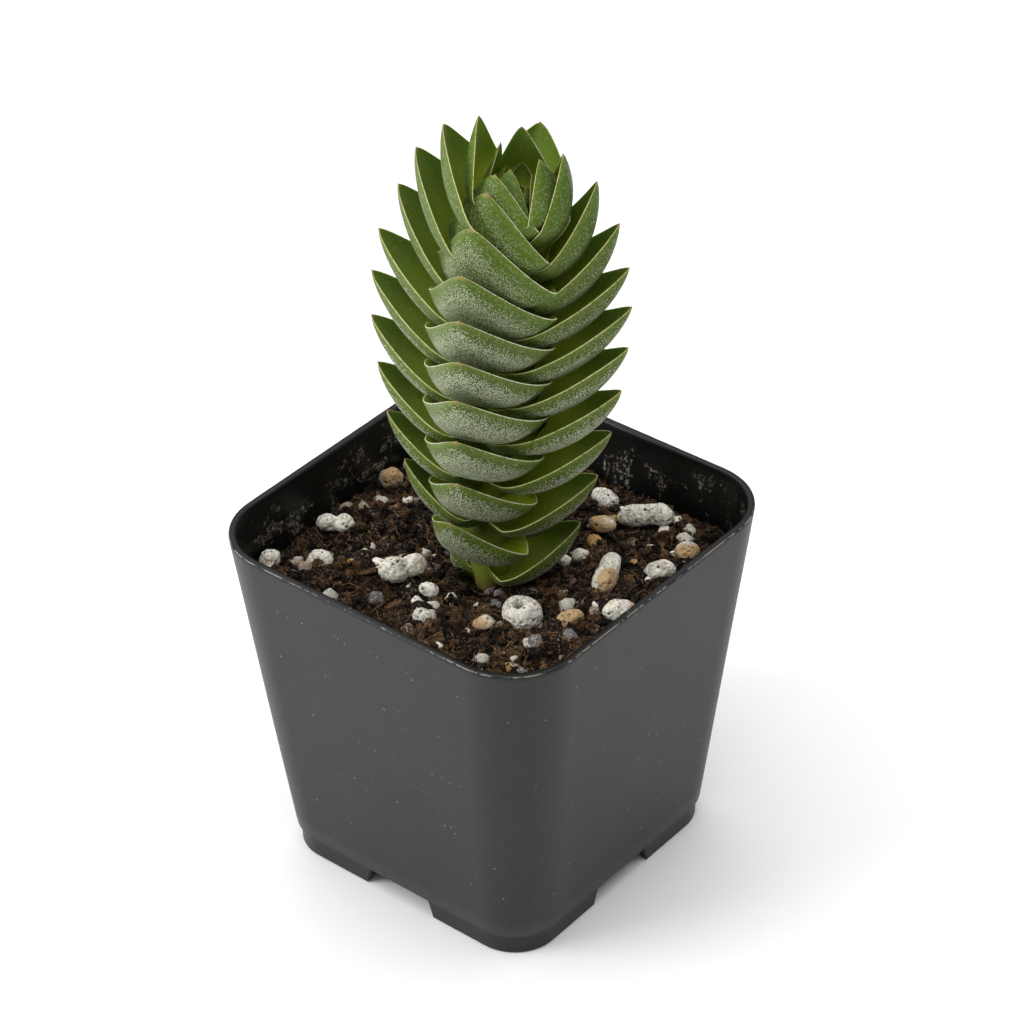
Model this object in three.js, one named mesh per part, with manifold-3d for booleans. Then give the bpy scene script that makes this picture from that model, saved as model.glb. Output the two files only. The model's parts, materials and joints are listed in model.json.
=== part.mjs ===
// Potted Buddha's Temple crassula: one column of stacked leaf pairs in a square nursery pot.
// Millimetres, +Z up, origin at the middle of the pot's foot, the pot's sides facing X and Y.

import * as THREE from "three";
import { mergeVertices } from "three/addons/utils/BufferGeometryUtils.js";
import Module from "manifold-3d";

const wasm = await Module();
wasm.setup();

// Driving dimensions
const GAP = 0.3; // left between two pieces that touch

const POT = {
  height: 61,
  rimSide: 64,
  rimCorner: 11.5,
  rimBevel: 0.35,
  footLine: 3.9, // height of the step between foot and body
  lineSide: 51.2,
  lineCorner: 8.3,
  footInset: 0.75,
  wall: 1.2,
  floor: 1.4,
  notch: 14.5, // opening in the middle of each side of the foot
  notchSlope: 1.6,
  drainRadius: 3.2,
  drainPlace: 13.5,
};

const SOIL = {
  level: 51.6,
  mound: 1.1,
  moundReach: 15,
  dip: 4.2, // round the stem, under the lowest leaves
  dipReach: 10,
  clod: 0.55, // height of the larger lumps
  crumb: 0.22, // height of the small ones
  edgeDrop: 0.5,
  rings: 9,
  spokes: 48,
};

const STEM = {
  base: [-0.5, 0.4], // where the stem leaves the soil
  lean: [0.031, 0.032], // sideways per millimetre of height
  bend: [1.35, 0.95], // how far the growing tip stands over on top of that
  bendFrom: 99,
  bendOver: 7,
  radius: 2.6,
  sides: 7,
  root: 43, // lower end, in its hole in the soil
  tip: 117,
  tipRadius: 0.9,
  taperFrom: 0.72, // share of the length below the taper
};

// Leaf pairs are counted down the column: two opposite ranks hold the whole levels, the other two
// the half levels. The shape of a pair at a level comes from these few pairs, smoothly joined.
const COLUMN = {
  turn: 18.75, // azimuth of the right-hand rank, in degrees
  first: -3.5,
  last: 9,
  //         level, tip height, tip radius, rise, corner radius, half width, cup depth, root drop
  shape: [
    [-3.5, 119.2, 1.0, 1.6, 1.2, 1.7, 0.4, 1.6],
    [-2.5, 121.3, 2.2, 4.3, 2.6, 3.2, 0.8, 2.4],
    [-1.5, 124.4, 3.2, 7.8, 4.6, 5.4, 1.4, 2.9],
    [-0.5, 125.7, 6.6, 8.9, 3.3, 8.3, 3.0, 2.6],
    [1, 121.3, 13.1, 11.6, 4.4, 9.3, 3.8, 1.2],
    [3, 109.0, 18.5, 10.1, 3.8, 9.5, 3.9, 0],
    [4.5, 98.3, 19.5, 8.9, 4.5, 9.8, 3.7, 0],
    [6, 87.2, 18.6, 7.7, 5.3, 9.9, 3.6, 0],
    [8, 70.8, 15.5, 6.8, 3.9, 9.8, 2.9, 0],
    [9, 62.1, 13.6, 7.3, 2.7, 9.7, 2.9, 0.3],
  ],
  // How each rank of leaves departs from that: level, further out, further up, wider, turned
  rank: {
    right: [[-3.5, 0, -1, 0, 0], [-2, 0, -2.3, 0, 0], [-1, -1, -2.2, 0, 2], [0, -1.8, -1, -1.3, 17],
      [1.5, -0.6, -2.1, -1.2, 13], [3, 0.6, -2.1, -0.3, 7.5], [4.5, 0.8, 0.2, -0.2, 0.5],
      [6, 1.7, 1.6, -0.4, -6], [7.5, 1.1, 0.7, -0.4, 0], [9, 0, -1.4, -0.9, 9]],
    left: [[-3.5, 0, 1, 0, 0], [-2, -0.5, 2.3, 0, 0], [-1, 0.6, 3.5, 0.2, 2], [0, 1.4, 2.8, 2.2, 10],
      [1.5, 1.5, 0.2, 1, -1.5], [3, 0.8, -1.8, -1.3, -2], [4.5, 0.8, -1.9, -1.8, 0],
      [6, 0.1, -2.1, -2.4, 3.5], [7.5, -0.8, -1.2, -3.6, 11], [8, -1.9, -0.4, -3, 16.5],
      [9, -8, -6, -7, 0]],
    front: [[-3.5, 0, -1, 0, 0], [-1.5, -2, -2.8, 0, -8], [-0.5, -2.3, -3.6, -0.5, -20],
      [0.5, -4.6, -3.1, 0.7, -16.5], [1.5, -4.2, -2, 1.7, -13.5], [3, -3.7, -1.3, 1.6, -3],
      [4.5, -2.3, 0.6, 1, 1], [6, -0.8, 2, 0.6, 1], [7.5, -2.7, 0.1, -0.2, -3.5],
      [9, -4.2, -1.9, 0.1, -23]],
    back: [[-3.5, 0, -1, 0, 0], [-2.5, 1, -0.8, 0, 0], [-1.5, 0, 2, 0, 0], [-0.5, 4.2, -2.6, 0, 0],
      [0.5, 3, -2.6, -1.2, 7], [2.5, 1, -1, 0, 3], [9, 0, -1.5, 0, 0]],
  },
  plump: 1.15, // thickness over the keel
  edge: 0.62, // thickness at the margin
  rootShare: 0.6, // half width where two opposite leaves meet, of their own half width
  outlinePower: 0.69,
  risePower: 1.5,
  cupPower: 3.1, // how square a leaf's hollow is
  point: 0.25, // half width of the blunt tip
  corner: 0.22, // share of a leaf's length where it starts to rise and stand out
  neck: 0.38, // share over which it widens from where it meets the opposite leaf
  neckPower: 1.2,
  sweepPower: 1.5, // how a margin bends up from the stem to the corner
  stepPower: 1.5, // draws the steps along a leaf towards its tip
  keelPower: 2.6, // how square its underside is
  swellFrom: 0.3, // where on a half wave the hollow and the thickness start at the stem
  swellPower: 1.3,
};

// Steps of a leaf's mesh; the power draws the steps across towards the margins
const LEAF_GRID = { across: 4, along: 12, crownAcross: 4, crownAlong: 8, marginPower: 0.6 };

const STONE = {
  waves: 5,
  roughness: 0.055,
  lobeShift: 0.24, // of the length, for stones of two lobes
  lobeSizes: [0.78, 0.7],
  lift: 0.22, // of the height, from the soil's surface to the middle
  seed: 11,
};

// Pumice on the soil: x, y, length, width, height, turn in degrees, lobes
const PUMICE = {
  front_round: [11.8, -7.6, 7.0, 6.0, 5.4, 10, 1],
  front_lumpy: [-9.2, -10.7, 6.4, 5.2, 5.6, 60, 2],
  right_long: [16.3, 7.8, 7.6, 4.6, 4.8, 115, 2],
  right_back_pair: [12.3, 23.0, 7.4, 4.6, 4.8, 35, 2],
  left_cream: [-25.2, -7.8, 4.9, 4.0, 3.6, 30, 2],
  left_back: [-27.2, 7.6, 4.2, 3.7, 3.6, 0, 1],
  left_wall: [-27.4, -21.2, 3.8, 3.2, 3.0, 80, 1],
  right_pair: [22.5, 2.6, 5.6, 3.6, 3.2, 40, 1],
  front_small: [0.2, -17.6, 3.0, 2.7, 2.4, 0, 1],
  front_middle: [8.6, -12.6, 3.4, 2.5, 2.2, 50, 1],
  ochre_front: [18.0, -3.8, 5.0, 3.2, 3.0, 70, 1],
  right_corner: [22.2, 13.0, 4.8, 3.6, 3.0, 20, 1],
  right_far: [21.4, 20.8, 4.4, 3.6, 3.2, 60, 1],
  left_middle: [-3.4, -11.6, 3.3, 2.7, 2.2, 20, 1],
  left_long: [-22.4, -15.4, 4.8, 3.0, 2.6, 45, 1],
  back_white: [3.4, 23.3, 4.4, 3.8, 3.4, 0, 1],
  back_ochre: [7.2, 17.8, 4.4, 3.6, 2.8, 30, 1],
  back_left: [-12.5, 20.5, 5.2, 4.2, 3.8, 75, 1],
  back_far: [-22.6, 22.4, 4.2, 3.4, 3.0, 10, 1],
};

const FINISH = {
  pot: { color: 0x3a3d41, roughness: 0.55, metalness: 0 },
  soil: { color: 0x3a291d, roughness: 0.95, metalness: 0 },
  leaf: { color: 0x5c7a3a, roughness: 0.45, metalness: 0 },
  pumice: { color: 0xcfc8b8, roughness: 0.9, metalness: 0 },
};

// Helpers for closed solids
const radians = THREE.MathUtils.degToRad;
const mix = THREE.MathUtils.lerp;
const UP = new THREE.Vector3(0, 0, 1);

function movePoints(geometry, place) {
  const points = geometry.getAttribute("position");
  const point = new THREE.Vector3();
  for (let i = 0; i < points.count; i += 1) {
    point.fromBufferAttribute(points, i);
    place(point);
    points.setXYZ(i, point.x, point.y, point.z);
  }
  return geometry;
}

function toSolid(geometry) {
  const bare = geometry.clone();
  bare.deleteAttribute("normal");
  bare.deleteAttribute("uv");
  const merged = mergeVertices(bare, 1e-4);
  const vertProperties = new Float32Array(merged.getAttribute("position").array);
  const triVerts = new Uint32Array(merged.getIndex().array);
  return new wasm.Manifold(new wasm.Mesh({ numProp: 3, vertProperties, triVerts }));
}

function toGeometry(solid) {
  const { vertProperties, triVerts } = solid.getMesh();
  const geometry = new THREE.BufferGeometry();
  geometry.setAttribute("position", new THREE.BufferAttribute(vertProperties, 3));
  geometry.setIndex(new THREE.BufferAttribute(triVerts, 1));
  geometry.computeVertexNormals();
  return geometry;
}

// Every separate closed shell of a solid that encloses material, largest first
function bodiesOf(solid) {
  return solid.decompose().filter((body) => body.volume() > 0).sort((a, b) => b.volume() - a.volume());
}

// Repeatable random numbers between 0 and 1
function randomFrom(seed) {
  let state = seed;
  return () => {
    state = (state * 1664525 + 1013904223) % 4294967296;
    return state / 4294967296;
  };
}

// A smooth curve through rows of numbers, read at a value of the first column
function smoothTable(rows) {
  const columns = rows[0].length - 1;
  return (at) => {
    let i = 0;
    while (i < rows.length - 2 && at > rows[i + 1][0]) {
      i += 1;
    }
    const [before, from, to, after] = [rows[Math.max(i - 1, 0)], rows[i], rows[i + 1],
      rows[Math.min(i + 2, rows.length - 1)]];
    const span = to[0] - from[0];
    const t = (at - from[0]) / span;
    return Array.from({ length: columns }, (_, column) => {
      const c = column + 1;
      const slopeIn = (to[c] - before[c]) / (to[0] - before[0] || 1) * span;
      const slopeOut = (after[c] - from[c]) / (after[0] - from[0] || 1) * span;
      return (2 * t ** 3 - 3 * t ** 2 + 1) * from[c] + (t ** 3 - 2 * t ** 2 + t) * slopeIn
        + (3 * t ** 2 - 2 * t ** 3) * to[c] + (t ** 3 - t ** 2) * slopeOut;
    });
  };
}

// Pot
function roundedSquare(side, corner) {
  const half = side / 2;
  const inner = half - corner;
  const shape = new THREE.Shape();
  shape.absarc(inner, inner, corner, 0, Math.PI / 2);
  shape.absarc(-inner, inner, corner, Math.PI / 2, Math.PI);
  shape.absarc(-inner, -inner, corner, Math.PI, Math.PI * 1.5);
  shape.absarc(inner, -inner, corner, Math.PI * 1.5, Math.PI * 2);
  return shape;
}

// A solid whose section is a rounded square of its own size at each level
function squareLoft(levels) {
  const pattern = { side: 64, corner: 11.5 };
  const geometry = new THREE.ExtrudeGeometry(roundedSquare(pattern.side, pattern.corner), {
    depth: levels.length - 1,
    steps: levels.length - 1,
    bevelEnabled: false,
    curveSegments: 4,
  });
  const patternInner = pattern.side / 2 - pattern.corner;
  return toSolid(movePoints(geometry, (point) => {
    const { z, side, corner } = levels[Math.round(point.z)];
    const inner = side / 2 - corner;
    const outwards = (value) => Math.sign(value)
      * (inner + (Math.abs(value) - patternInner) / pattern.corner * corner);
    point.set(outwards(point.x), outwards(point.y), z);
  }));
}

function potSection(z, inset = 0) {
  const t = (z - POT.footLine) / (POT.height - POT.footLine);
  return {
    z,
    side: mix(POT.lineSide, POT.rimSide, t) - 2 * inset,
    corner: mix(POT.lineCorner, POT.rimCorner, t) - inset,
  };
}

function makePot() {
  const bevel = POT.rimBevel;
  const body = squareLoft([
    potSection(POT.footLine),
    potSection((POT.footLine + POT.height) / 2),
    potSection(POT.height - bevel),
    potSection(POT.height, bevel),
  ]);
  const floorTop = POT.footLine + POT.floor;
  const inside = squareLoft([
    potSection(floorTop, POT.wall + 1),
    potSection(floorTop + 1, POT.wall),
    potSection(POT.height - bevel, POT.wall),
    potSection(POT.height + 1, POT.wall - bevel),
  ]);
  const footOut = { ...potSection(POT.footLine, POT.footInset) };
  const footIn = { ...potSection(POT.footLine, POT.footInset + POT.wall) };
  const foot = squareLoft([{ ...footOut, z: 0 }, { ...footOut, z: POT.footLine + 0.5 }])
    .subtract(squareLoft([{ ...footIn, z: -1 }, { ...footIn, z: POT.footLine }]));
  let pot = body.subtract(inside).add(foot);
  for (const turn of [0, 90]) {
    const notch = new THREE.BoxGeometry(POT.notch, POT.lineSide + 10, POT.footLine + 1);
    movePoints(notch, (point) => {
      if (point.z > 0) {
        point.x -= Math.sign(point.x) * POT.notchSlope;
      }
      point.z += (POT.footLine - 1) / 2;
    });
    pot = pot.subtract(toSolid(notch.rotateZ(radians(turn))));
  }
  const drains = [[0, 0], [1, 1], [1, -1], [-1, 1], [-1, -1]];
  for (const [x, y] of drains) {
    const drain = new THREE.CylinderGeometry(POT.drainRadius, POT.drainRadius, 6, 14);
    drain.rotateX(Math.PI / 2);
    drain.translate(x * POT.drainPlace, y * POT.drainPlace, floorTop - 1);
    pot = pot.subtract(toSolid(drain));
  }
  return pot;
}

// Soil: a disc of rings, pushed out to the pot's rounded square
function squareReach(angle, half, corner) {
  const [c, s] = [Math.abs(Math.cos(angle)), Math.abs(Math.sin(angle))];
  const reach = half / Math.max(c, s);
  const inner = half - corner;
  if (reach * Math.min(c, s) <= inner) {
    return reach;
  }
  const along = inner * (c + s);
  return along + Math.sqrt(along ** 2 - 2 * inner ** 2 + corner ** 2);
}

function soilHeight(x, y) {
  const square = x ** 2 + y ** 2;
  const mound = SOIL.mound * Math.exp(-square / SOIL.moundReach ** 2)
    - SOIL.dip * Math.exp(-square / SOIL.dipReach ** 2);
  const clods = Math.sin(x * 0.41 + 1.3) * Math.cos(y * 0.37 - 0.6) + Math.sin(x * 0.23 - y * 0.31);
  const crumbs = Math.sin(x * 1.13 + y * 0.7) * Math.cos(y * 1.21 - x * 0.4);
  return SOIL.level + mound + SOIL.clod * clods + SOIL.crumb * crumbs;
}

function makeSoil() {
  const bottom = POT.footLine + POT.floor + GAP;
  const clear = POT.wall + GAP + 0.05;
  const rim = Array.from({ length: SOIL.rings }, (_, i) => new THREE.Vector2(1 - i / (SOIL.rings - 1), 1));
  const profile = [new THREE.Vector2(0, 0), new THREE.Vector2(1, 0), ...rim];
  const geometry = new THREE.LatheGeometry(profile, SOIL.spokes);
  geometry.rotateX(Math.PI / 2);
  return toSolid(movePoints(geometry, (point) => {
    const ring = Math.hypot(point.x, point.y);
    const evenAngle = Math.atan2(point.y, point.x);
    const angle = evenAngle - 0.1 * Math.sin(4 * evenAngle); // more points at the corners
    const onTop = point.z > 0.5;
    const section = onTop ? potSection(SOIL.level, clear) : potSection(bottom, clear + 1);
    const reach = squareReach(angle, section.side / 2, section.corner) * ring;
    const [x, y] = [reach * Math.cos(angle), reach * Math.sin(angle)];
    const edge = SOIL.edgeDrop * ring ** 6;
    point.set(x, y, onTop ? soilHeight(x, y) - edge : bottom);
  }));
}

// Stem
function axisAt(z) {
  const over = THREE.MathUtils.clamp((z - STEM.bendFrom) / STEM.bendOver, 0, 1);
  return [0, 1].map((i) => STEM.base[i] + STEM.lean[i] * (z - SOIL.level) + STEM.bend[i] * over);
}

function makeStem(extra = 0) {
  const top = STEM.tip + extra;
  const bottom = STEM.root - extra;
  const geometry = new THREE.CylinderGeometry(1, 1, 1, STEM.sides, 4);
  geometry.rotateX(Math.PI / 2);
  return toSolid(movePoints(geometry, (point) => {
    const t = point.z + 0.5;
    const z = mix(bottom, top, t);
    const [x, y] = axisAt(z);
    const taper = Math.max(0, (t - STEM.taperFrom) / (1 - STEM.taperFrom));
    const radius = extra + mix(STEM.radius, STEM.tipRadius, taper);
    point.set(x + point.x * radius, y + point.y * radius, z);
  }));
}

// Leaves
const columnShape = smoothTable(COLUMN.shape);
const rankShape = Object.fromEntries(
  Object.entries(COLUMN.rank).map(([rank, rows]) => [rank, smoothTable(rows)]));

function leafShape(level, rank) {
  const [tipZ, tipRadius, rise, cornerRadius, width, depth, rootDrop] = columnShape(level);
  const [reach, lift, widen, turn] = rankShape[rank](level);
  const halfWidth = width + widen;
  return {
    tipZ: tipZ + lift,
    cornerZ: tipZ - rise + 0.5 * lift,
    rootZ: tipZ - rise - rootDrop,
    tipRadius: tipRadius + reach,
    cornerRadius,
    halfWidth,
    depth,
    size: Math.min(1, halfWidth / 9),
    turn: radians(turn),
  };
}

// Where a leaf's margins run: along 0 is where it meets the opposite leaf, 1 its tip
function leafLine(leaf, along) {
  const near = Math.min(along / COLUMN.corner, 1);
  const left = Math.min((1 - along) / (1 - COLUMN.corner), 1);
  const far = 1 - left ** COLUMN.stepPower;
  const widening = Math.min(along / COLUMN.neck, 1);
  const neck = mix(COLUMN.rootShare, 1, (widening * (2 - widening)) ** COLUMN.neckPower);
  return {
    r: leaf.cornerRadius * near + (leaf.tipRadius - leaf.cornerRadius) * far,
    half: Math.max(COLUMN.point * leaf.size, leaf.halfWidth * neck * (1 - far) ** COLUMN.outlinePower),
    z: mix(leaf.rootZ, leaf.cornerZ, near ** COLUMN.sweepPower)
      + (leaf.tipZ - leaf.cornerZ) * far ** COLUMN.risePower,
  };
}

// How hollow and how thick a leaf is along its length: little at the stem and at the tip
function swelling(along) {
  return Math.sin(Math.PI * mix(COLUMN.swellFrom, 1, along)) ** COLUMN.swellPower;
}

// A point on the upper face of a leaf: across runs from -1 to 1
function leafPoint(leaf, along, across) {
  const step = 0.02;
  const line = leafLine(leaf, along);
  const ahead = leafLine(leaf, Math.min(along + step, 1));
  const behind = leafLine(leaf, Math.max(along - step, 0));
  const slope = new THREE.Vector2(ahead.z - behind.z, behind.r - ahead.r).normalize();
  const cup = leaf.depth * swelling(along) * (1 - Math.abs(across) ** COLUMN.cupPower);
  return new THREE.Vector3(line.r + slope.x * cup, across * line.half, line.z + slope.y * cup);
}

// Two opposite leaves, joined through the stem
function leafPair(level, ranks, azimuth) {
  const leaves = ranks.map((rank) => leafShape(level, rank));
  const crown = level < -1;
  const acrossSteps = crown ? LEAF_GRID.crownAcross : LEAF_GRID.across;
  const alongSteps = crown ? LEAF_GRID.crownAlong : LEAF_GRID.along;
  const upper = (along, across) => {
    const leaf = leaves[along < 0 ? 1 : 0];
    const point = leafPoint(leaf, Math.abs(along), across);
    point.x *= Math.sign(along);
    return point;
  };
  const geometry = new THREE.BoxGeometry(2, 2, 1, alongSteps, acrossSteps, 1);
  const { size } = leaves[0];
  movePoints(geometry, (point) => {
    const [along, under] = [point.x, point.z < 0];
    const across = Math.sign(point.y) * Math.abs(point.y) ** LEAF_GRID.marginPower;
    const face = upper(along, across);
    const step = 0.03;
    const ahead = upper(Math.min(along + step, 1), across);
    const lengthwise = ahead.sub(upper(Math.max(along - step, -1), across));
    const beside = upper(along, Math.min(across + step, 1));
    const sideways = beside.sub(upper(along, Math.max(across - step, -1)));
    const down = sideways.cross(lengthwise).normalize();
    const swell = swelling(Math.abs(along)) * (1 - Math.abs(across) ** COLUMN.keelPower);
    const thick = COLUMN.edge + (COLUMN.plump * size - COLUMN.edge) * swell;
    point.copy(face.addScaledVector(down, under ? thick - COLUMN.edge / 2 : -COLUMN.edge / 2));
    // Each leaf turns by its own angle, blended where the two meet in the stem
    const own = leaves[along < 0 ? 1 : 0].turn;
    const meeting = (leaves[0].turn + leaves[1].turn) / 2;
    point.applyAxisAngle(UP, mix(meeting, own, Math.min(1, Math.abs(along) / COLUMN.neck)));
  });
  geometry.rotateZ(azimuth);
  const [x, y] = axisAt(leaves[0].rootZ);
  return toSolid(geometry.translate(x, y, 0));
}

function makeLeafyStem() {
  const pieces = [makeStem()];
  for (let level = COLUMN.first; level <= COLUMN.last; level += 0.5) {
    const whole = Number.isInteger(level);
    const ranks = whole ? ["right", "left"] : ["back", "front"];
    pieces.push(leafPair(level, ranks, radians(COLUMN.turn + (whole ? 0 : 90))));
  }
  return pieces.reduce((column, piece) => column.add(piece));
}

// Pumice
function makeStone([x, y, length, width, height, turn, lobes], seed, extra = 0) {
  const random = randomFrom(seed);
  const waves = Array.from({ length: STONE.waves }, () => new THREE.Vector4(
    (random() - 0.5) * 6, (random() - 0.5) * 6, (random() - 0.5) * 6, random() * Math.PI * 2));
  const lump = (scale, shift) => {
    const geometry = new THREE.IcosahedronGeometry(1, 1);
    return toSolid(movePoints(geometry, (point) => {
      const bumps = waves.reduce((sum, wave) => sum
        + Math.sin(wave.x * point.x + wave.y * point.y + wave.z * point.z + wave.w + shift), 0);
      const swell = 1 + STONE.roughness * bumps;
      point.set(point.x * (swell * scale * length / 2 + extra) + shift * length * STONE.lobeShift,
        point.y * (swell * scale * width / 2 + extra), point.z * (swell * scale * height / 2 + extra));
    }));
  };
  const [large, small] = STONE.lobeSizes;
  const stone = lobes === 1 ? lump(1, 0) : lump(large, -1).add(lump(small, 1));
  return stone.rotate([0, 0, turn]).translate([x, y, soilHeight(x, y) + height * STONE.lift]);
}

const group = new THREE.Group();

function addNode(name, solid, finish) {
  const mesh = new THREE.Mesh(toGeometry(bodiesOf(solid)[0]), new THREE.MeshStandardMaterial(finish));
  mesh.name = name;
  group.add(mesh);
}

addNode("pot", makePot(), FINISH.pot);
addNode("leafy_stem", makeLeafyStem(), FINISH.leaf);

let soil = makeSoil().subtract(makeStem(GAP));
Object.entries(PUMICE).forEach(([name, stone], i) => {
  addNode(`pumice_${name}`, makeStone(stone, STONE.seed + i), FINISH.pumice);
  soil = soil.subtract(makeStone(stone, STONE.seed + i, GAP));
});
addNode("soil", soil, FINISH.soil);

export default group;
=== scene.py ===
import json
import math

import bmesh
import bpy
import numpy as np
from bpy.props import FloatProperty, FloatVectorProperty, IntProperty, PointerProperty
from mathutils import Matrix, Vector, noise
from mathutils.bvhtree import BVHTree


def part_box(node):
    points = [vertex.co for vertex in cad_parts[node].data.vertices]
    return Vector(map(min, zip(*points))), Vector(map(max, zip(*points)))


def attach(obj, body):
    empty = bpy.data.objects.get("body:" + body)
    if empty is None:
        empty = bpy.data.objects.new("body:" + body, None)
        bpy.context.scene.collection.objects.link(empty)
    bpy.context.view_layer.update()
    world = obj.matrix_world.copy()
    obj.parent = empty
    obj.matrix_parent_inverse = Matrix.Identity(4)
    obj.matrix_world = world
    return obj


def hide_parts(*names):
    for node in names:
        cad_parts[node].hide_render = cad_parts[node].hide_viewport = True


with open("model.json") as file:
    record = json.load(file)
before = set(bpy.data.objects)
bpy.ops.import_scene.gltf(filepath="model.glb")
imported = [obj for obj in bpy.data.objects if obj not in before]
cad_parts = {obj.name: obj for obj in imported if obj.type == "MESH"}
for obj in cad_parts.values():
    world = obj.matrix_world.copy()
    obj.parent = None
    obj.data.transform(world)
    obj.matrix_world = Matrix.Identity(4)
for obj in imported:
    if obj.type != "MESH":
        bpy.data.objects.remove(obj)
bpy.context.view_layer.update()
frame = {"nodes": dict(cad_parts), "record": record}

bl_info = {
    "name": "Potted Temple Crassula",
    "version": (1, 0, 0),
    "blender": (4, 5, 0),
    "location": "View3D > Sidebar > Crassula",
    "description": "A column of stacked succulent leaves in a square nursery pot",
    "category": "Object",
}

MM = 0.001
BODY = "root"

# Pot: its height and its rim come from the packed model, and the rest are the sizes that the solid has
POT_LOW, POT_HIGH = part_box("pot")
POT = {
    "height": POT_HIGH.z,
    "rim_side": POT_HIGH.x - POT_LOW.x,
    "rim_corner": 11.5 * MM,
    "foot_line": 3.9 * MM,
    "line_side": 51.2 * MM,
    "line_corner": 8.3 * MM,
    "foot_inset": 0.75 * MM,
    "wall": 1.2 * MM,
    "floor": 1.4 * MM,
    "notch": 14.5 * MM,
    "notch_slope": 1.6 * MM,
    "notch_depth": 9 * MM,
    "drain_radius": 3.2 * MM,
    "drain_place": 13.5 * MM,
}
SOIL_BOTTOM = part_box("soil")[0].z
SOIL_LEVEL = 51.6 * MM
SOIL_GAP, SOIL_FOOT_GAP = 0.32 * MM, 1.4 * MM  # from the soil to the pot's wall, at its top and its bottom
BARE_EDGE, BARE_MIDDLE = 1.3 * MM, 4.5 * MM  # nothing is strewn this near the wall or the stem
STONES = sorted(name for name in frame["nodes"] if name.startswith("pumice_"))
STONE_BOXES = [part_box(name) for name in STONES]
STONE_SLOT = {part["node"]: part["material_slot"] for part in frame["record"]["subparts"]}

# The stem and the rule of the leaf pairs, in millimetres: the leaves' rows are those that the solid has
STEM = {"base": (-0.5, 0.4), "lean": (0.031, 0.032), "bend": (1.35, 0.95), "bend_from": 99, "bend_over": 7,
        "low": 43.4, "high": 116.5, "radius": 2.5, "tip_radius": 0.8, "taper_from": 0.72, "ring": 0.04}
# The swollen foot of the stem: height, further right, further back, radius
FOOT_ROWS = [[50, 0.9, -1.7, 2.3], [53, 0.4, -1.1, 3.3], [56, -0.8, -0.9, 3.6], [58, -0.4, -0.4, 3.1],
             [60, 0, 0, 2.5]]
COLUMN_TURN = 18.75
FIRST_LEVEL, LAST_LEVEL = -3.5, 9
FRESH_LEVEL, FRESH_SPAN = 4.5, 4.0  # above this level leaves get fresher: thinner, greener and less frosted
# level, tip height, tip radius, rise, corner radius, half width, cup depth, root drop
LEAF_ROWS = [
    [-3.5, 119.2, 1.0, 1.6, 1.2, 1.7, 0.4, 1.6],
    [-2.5, 121.3, 2.2, 4.3, 2.6, 3.2, 0.8, 2.4],
    [-1.5, 124.4, 3.2, 7.8, 4.6, 5.4, 1.4, 2.9],
    [-0.5, 125.7, 6.6, 8.9, 3.3, 8.3, 3.0, 2.6],
    [1, 121.3, 13.1, 11.6, 4.4, 9.3, 3.8, 1.2],
    [3, 109.0, 18.5, 10.1, 3.8, 9.5, 3.9, 0],
    [4.5, 98.3, 19.5, 8.9, 4.5, 9.8, 3.7, 0],
    [6, 87.2, 18.6, 7.7, 5.3, 9.9, 3.6, 0],
    [8, 70.8, 15.5, 6.8, 3.9, 9.8, 2.9, 0],
    [9, 62.1, 13.6, 7.3, 2.7, 9.7, 2.9, 0.3],
]
# How each rank departs from that: level, further out, further up, wider, turned
RANK_ROWS = {
    "right": [[-3.5, 0, -1, 0, 0], [-2, 0, -2.3, 0, 0], [-1, -1, -2.2, 0, 2], [0, -1.8, -1, -1.3, 17],
              [1.5, -0.6, -2.1, -1.2, 13], [3, 0.6, -2.1, -0.3, 7.5], [4.5, 0.8, 0.2, -0.2, 0.5],
              [6, 1.7, 1.6, -0.4, -6], [7.5, 1.1, 0.7, -0.4, 0], [9, 0, -1.4, -0.9, 9]],
    "left": [[-3.5, 0, 1, 0, 0], [-2, -0.5, 2.3, 0, 0], [-1, 0.6, 3.5, 0.2, 2], [0, 1.4, 2.8, 2.2, 10],
             [1.5, 1.5, 0.2, 1, -1.5], [3, 0.8, -1.8, -1.3, -2], [4.5, 0.8, -1.9, -1.8, 0],
             [6, 0.1, -2.1, -2.4, 3.5], [7.5, -0.8, -1.2, -3.6, 11], [8, -1.9, -0.4, -3, 16.5],
             [9, -8, -6, -7, 0]],
    "front": [[-3.5, 0, -1, 0, 0], [-1.5, -2, -2.8, 0, -8], [-0.5, -2.3, -3.6, -0.5, -20],
              [0.5, -4.6, -3.1, 0.7, -16.5], [1.5, -4.2, -2, 1.7, -13.5], [3, -3.7, -1.3, 1.6, -3],
              [4.5, -2.3, 0.6, 1, 1], [6, -0.8, 2, 0.6, 1], [7.5, -2.7, 0.1, -0.2, -3.5],
              [9, -4.2, -1.9, 0.1, -23]],
    "back": [[-3.5, 0, -1, 0, 0], [-2.5, 1, -0.8, 0, 0], [-1.5, 0, 2, 0, 0], [-0.5, 4.2, -2.6, 0, 0],
             [0.5, 3, -2.6, -1.2, 7], [2.5, 1, -1, 0, 3], [9, 0, -1.5, 0, 0]],
}

# Camera, fitted to the pot's rim and foot
CAMERA_PLACE = Vector((0.286926, -0.340736, 0.379650))
CAMERA_TOWARDS = Vector((-0.51998748, 0.6258972, -0.58126218))
CAMERA_RIGHT = Vector((0.7761452, 0.63036224, -0.01555894))
CAMERA_LENS = 126.09

# Marks on single stones, each with its place and radius: a deep hole and an iron stain
STONE_HOLE = ("pumice_front_round", (0.0117, -0.0082, 0.0541), 1.0 * MM)
STONE_STAIN = ("pumice_right_long", (0.0186, 0.0056, 0.0533), 2.6 * MM)


# Settings that a user would change

def length(name, default, description):
    """A size in metres for a group of settings."""
    return FloatProperty(name=name, default=default, unit="LENGTH", precision=5, description=description)


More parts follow.
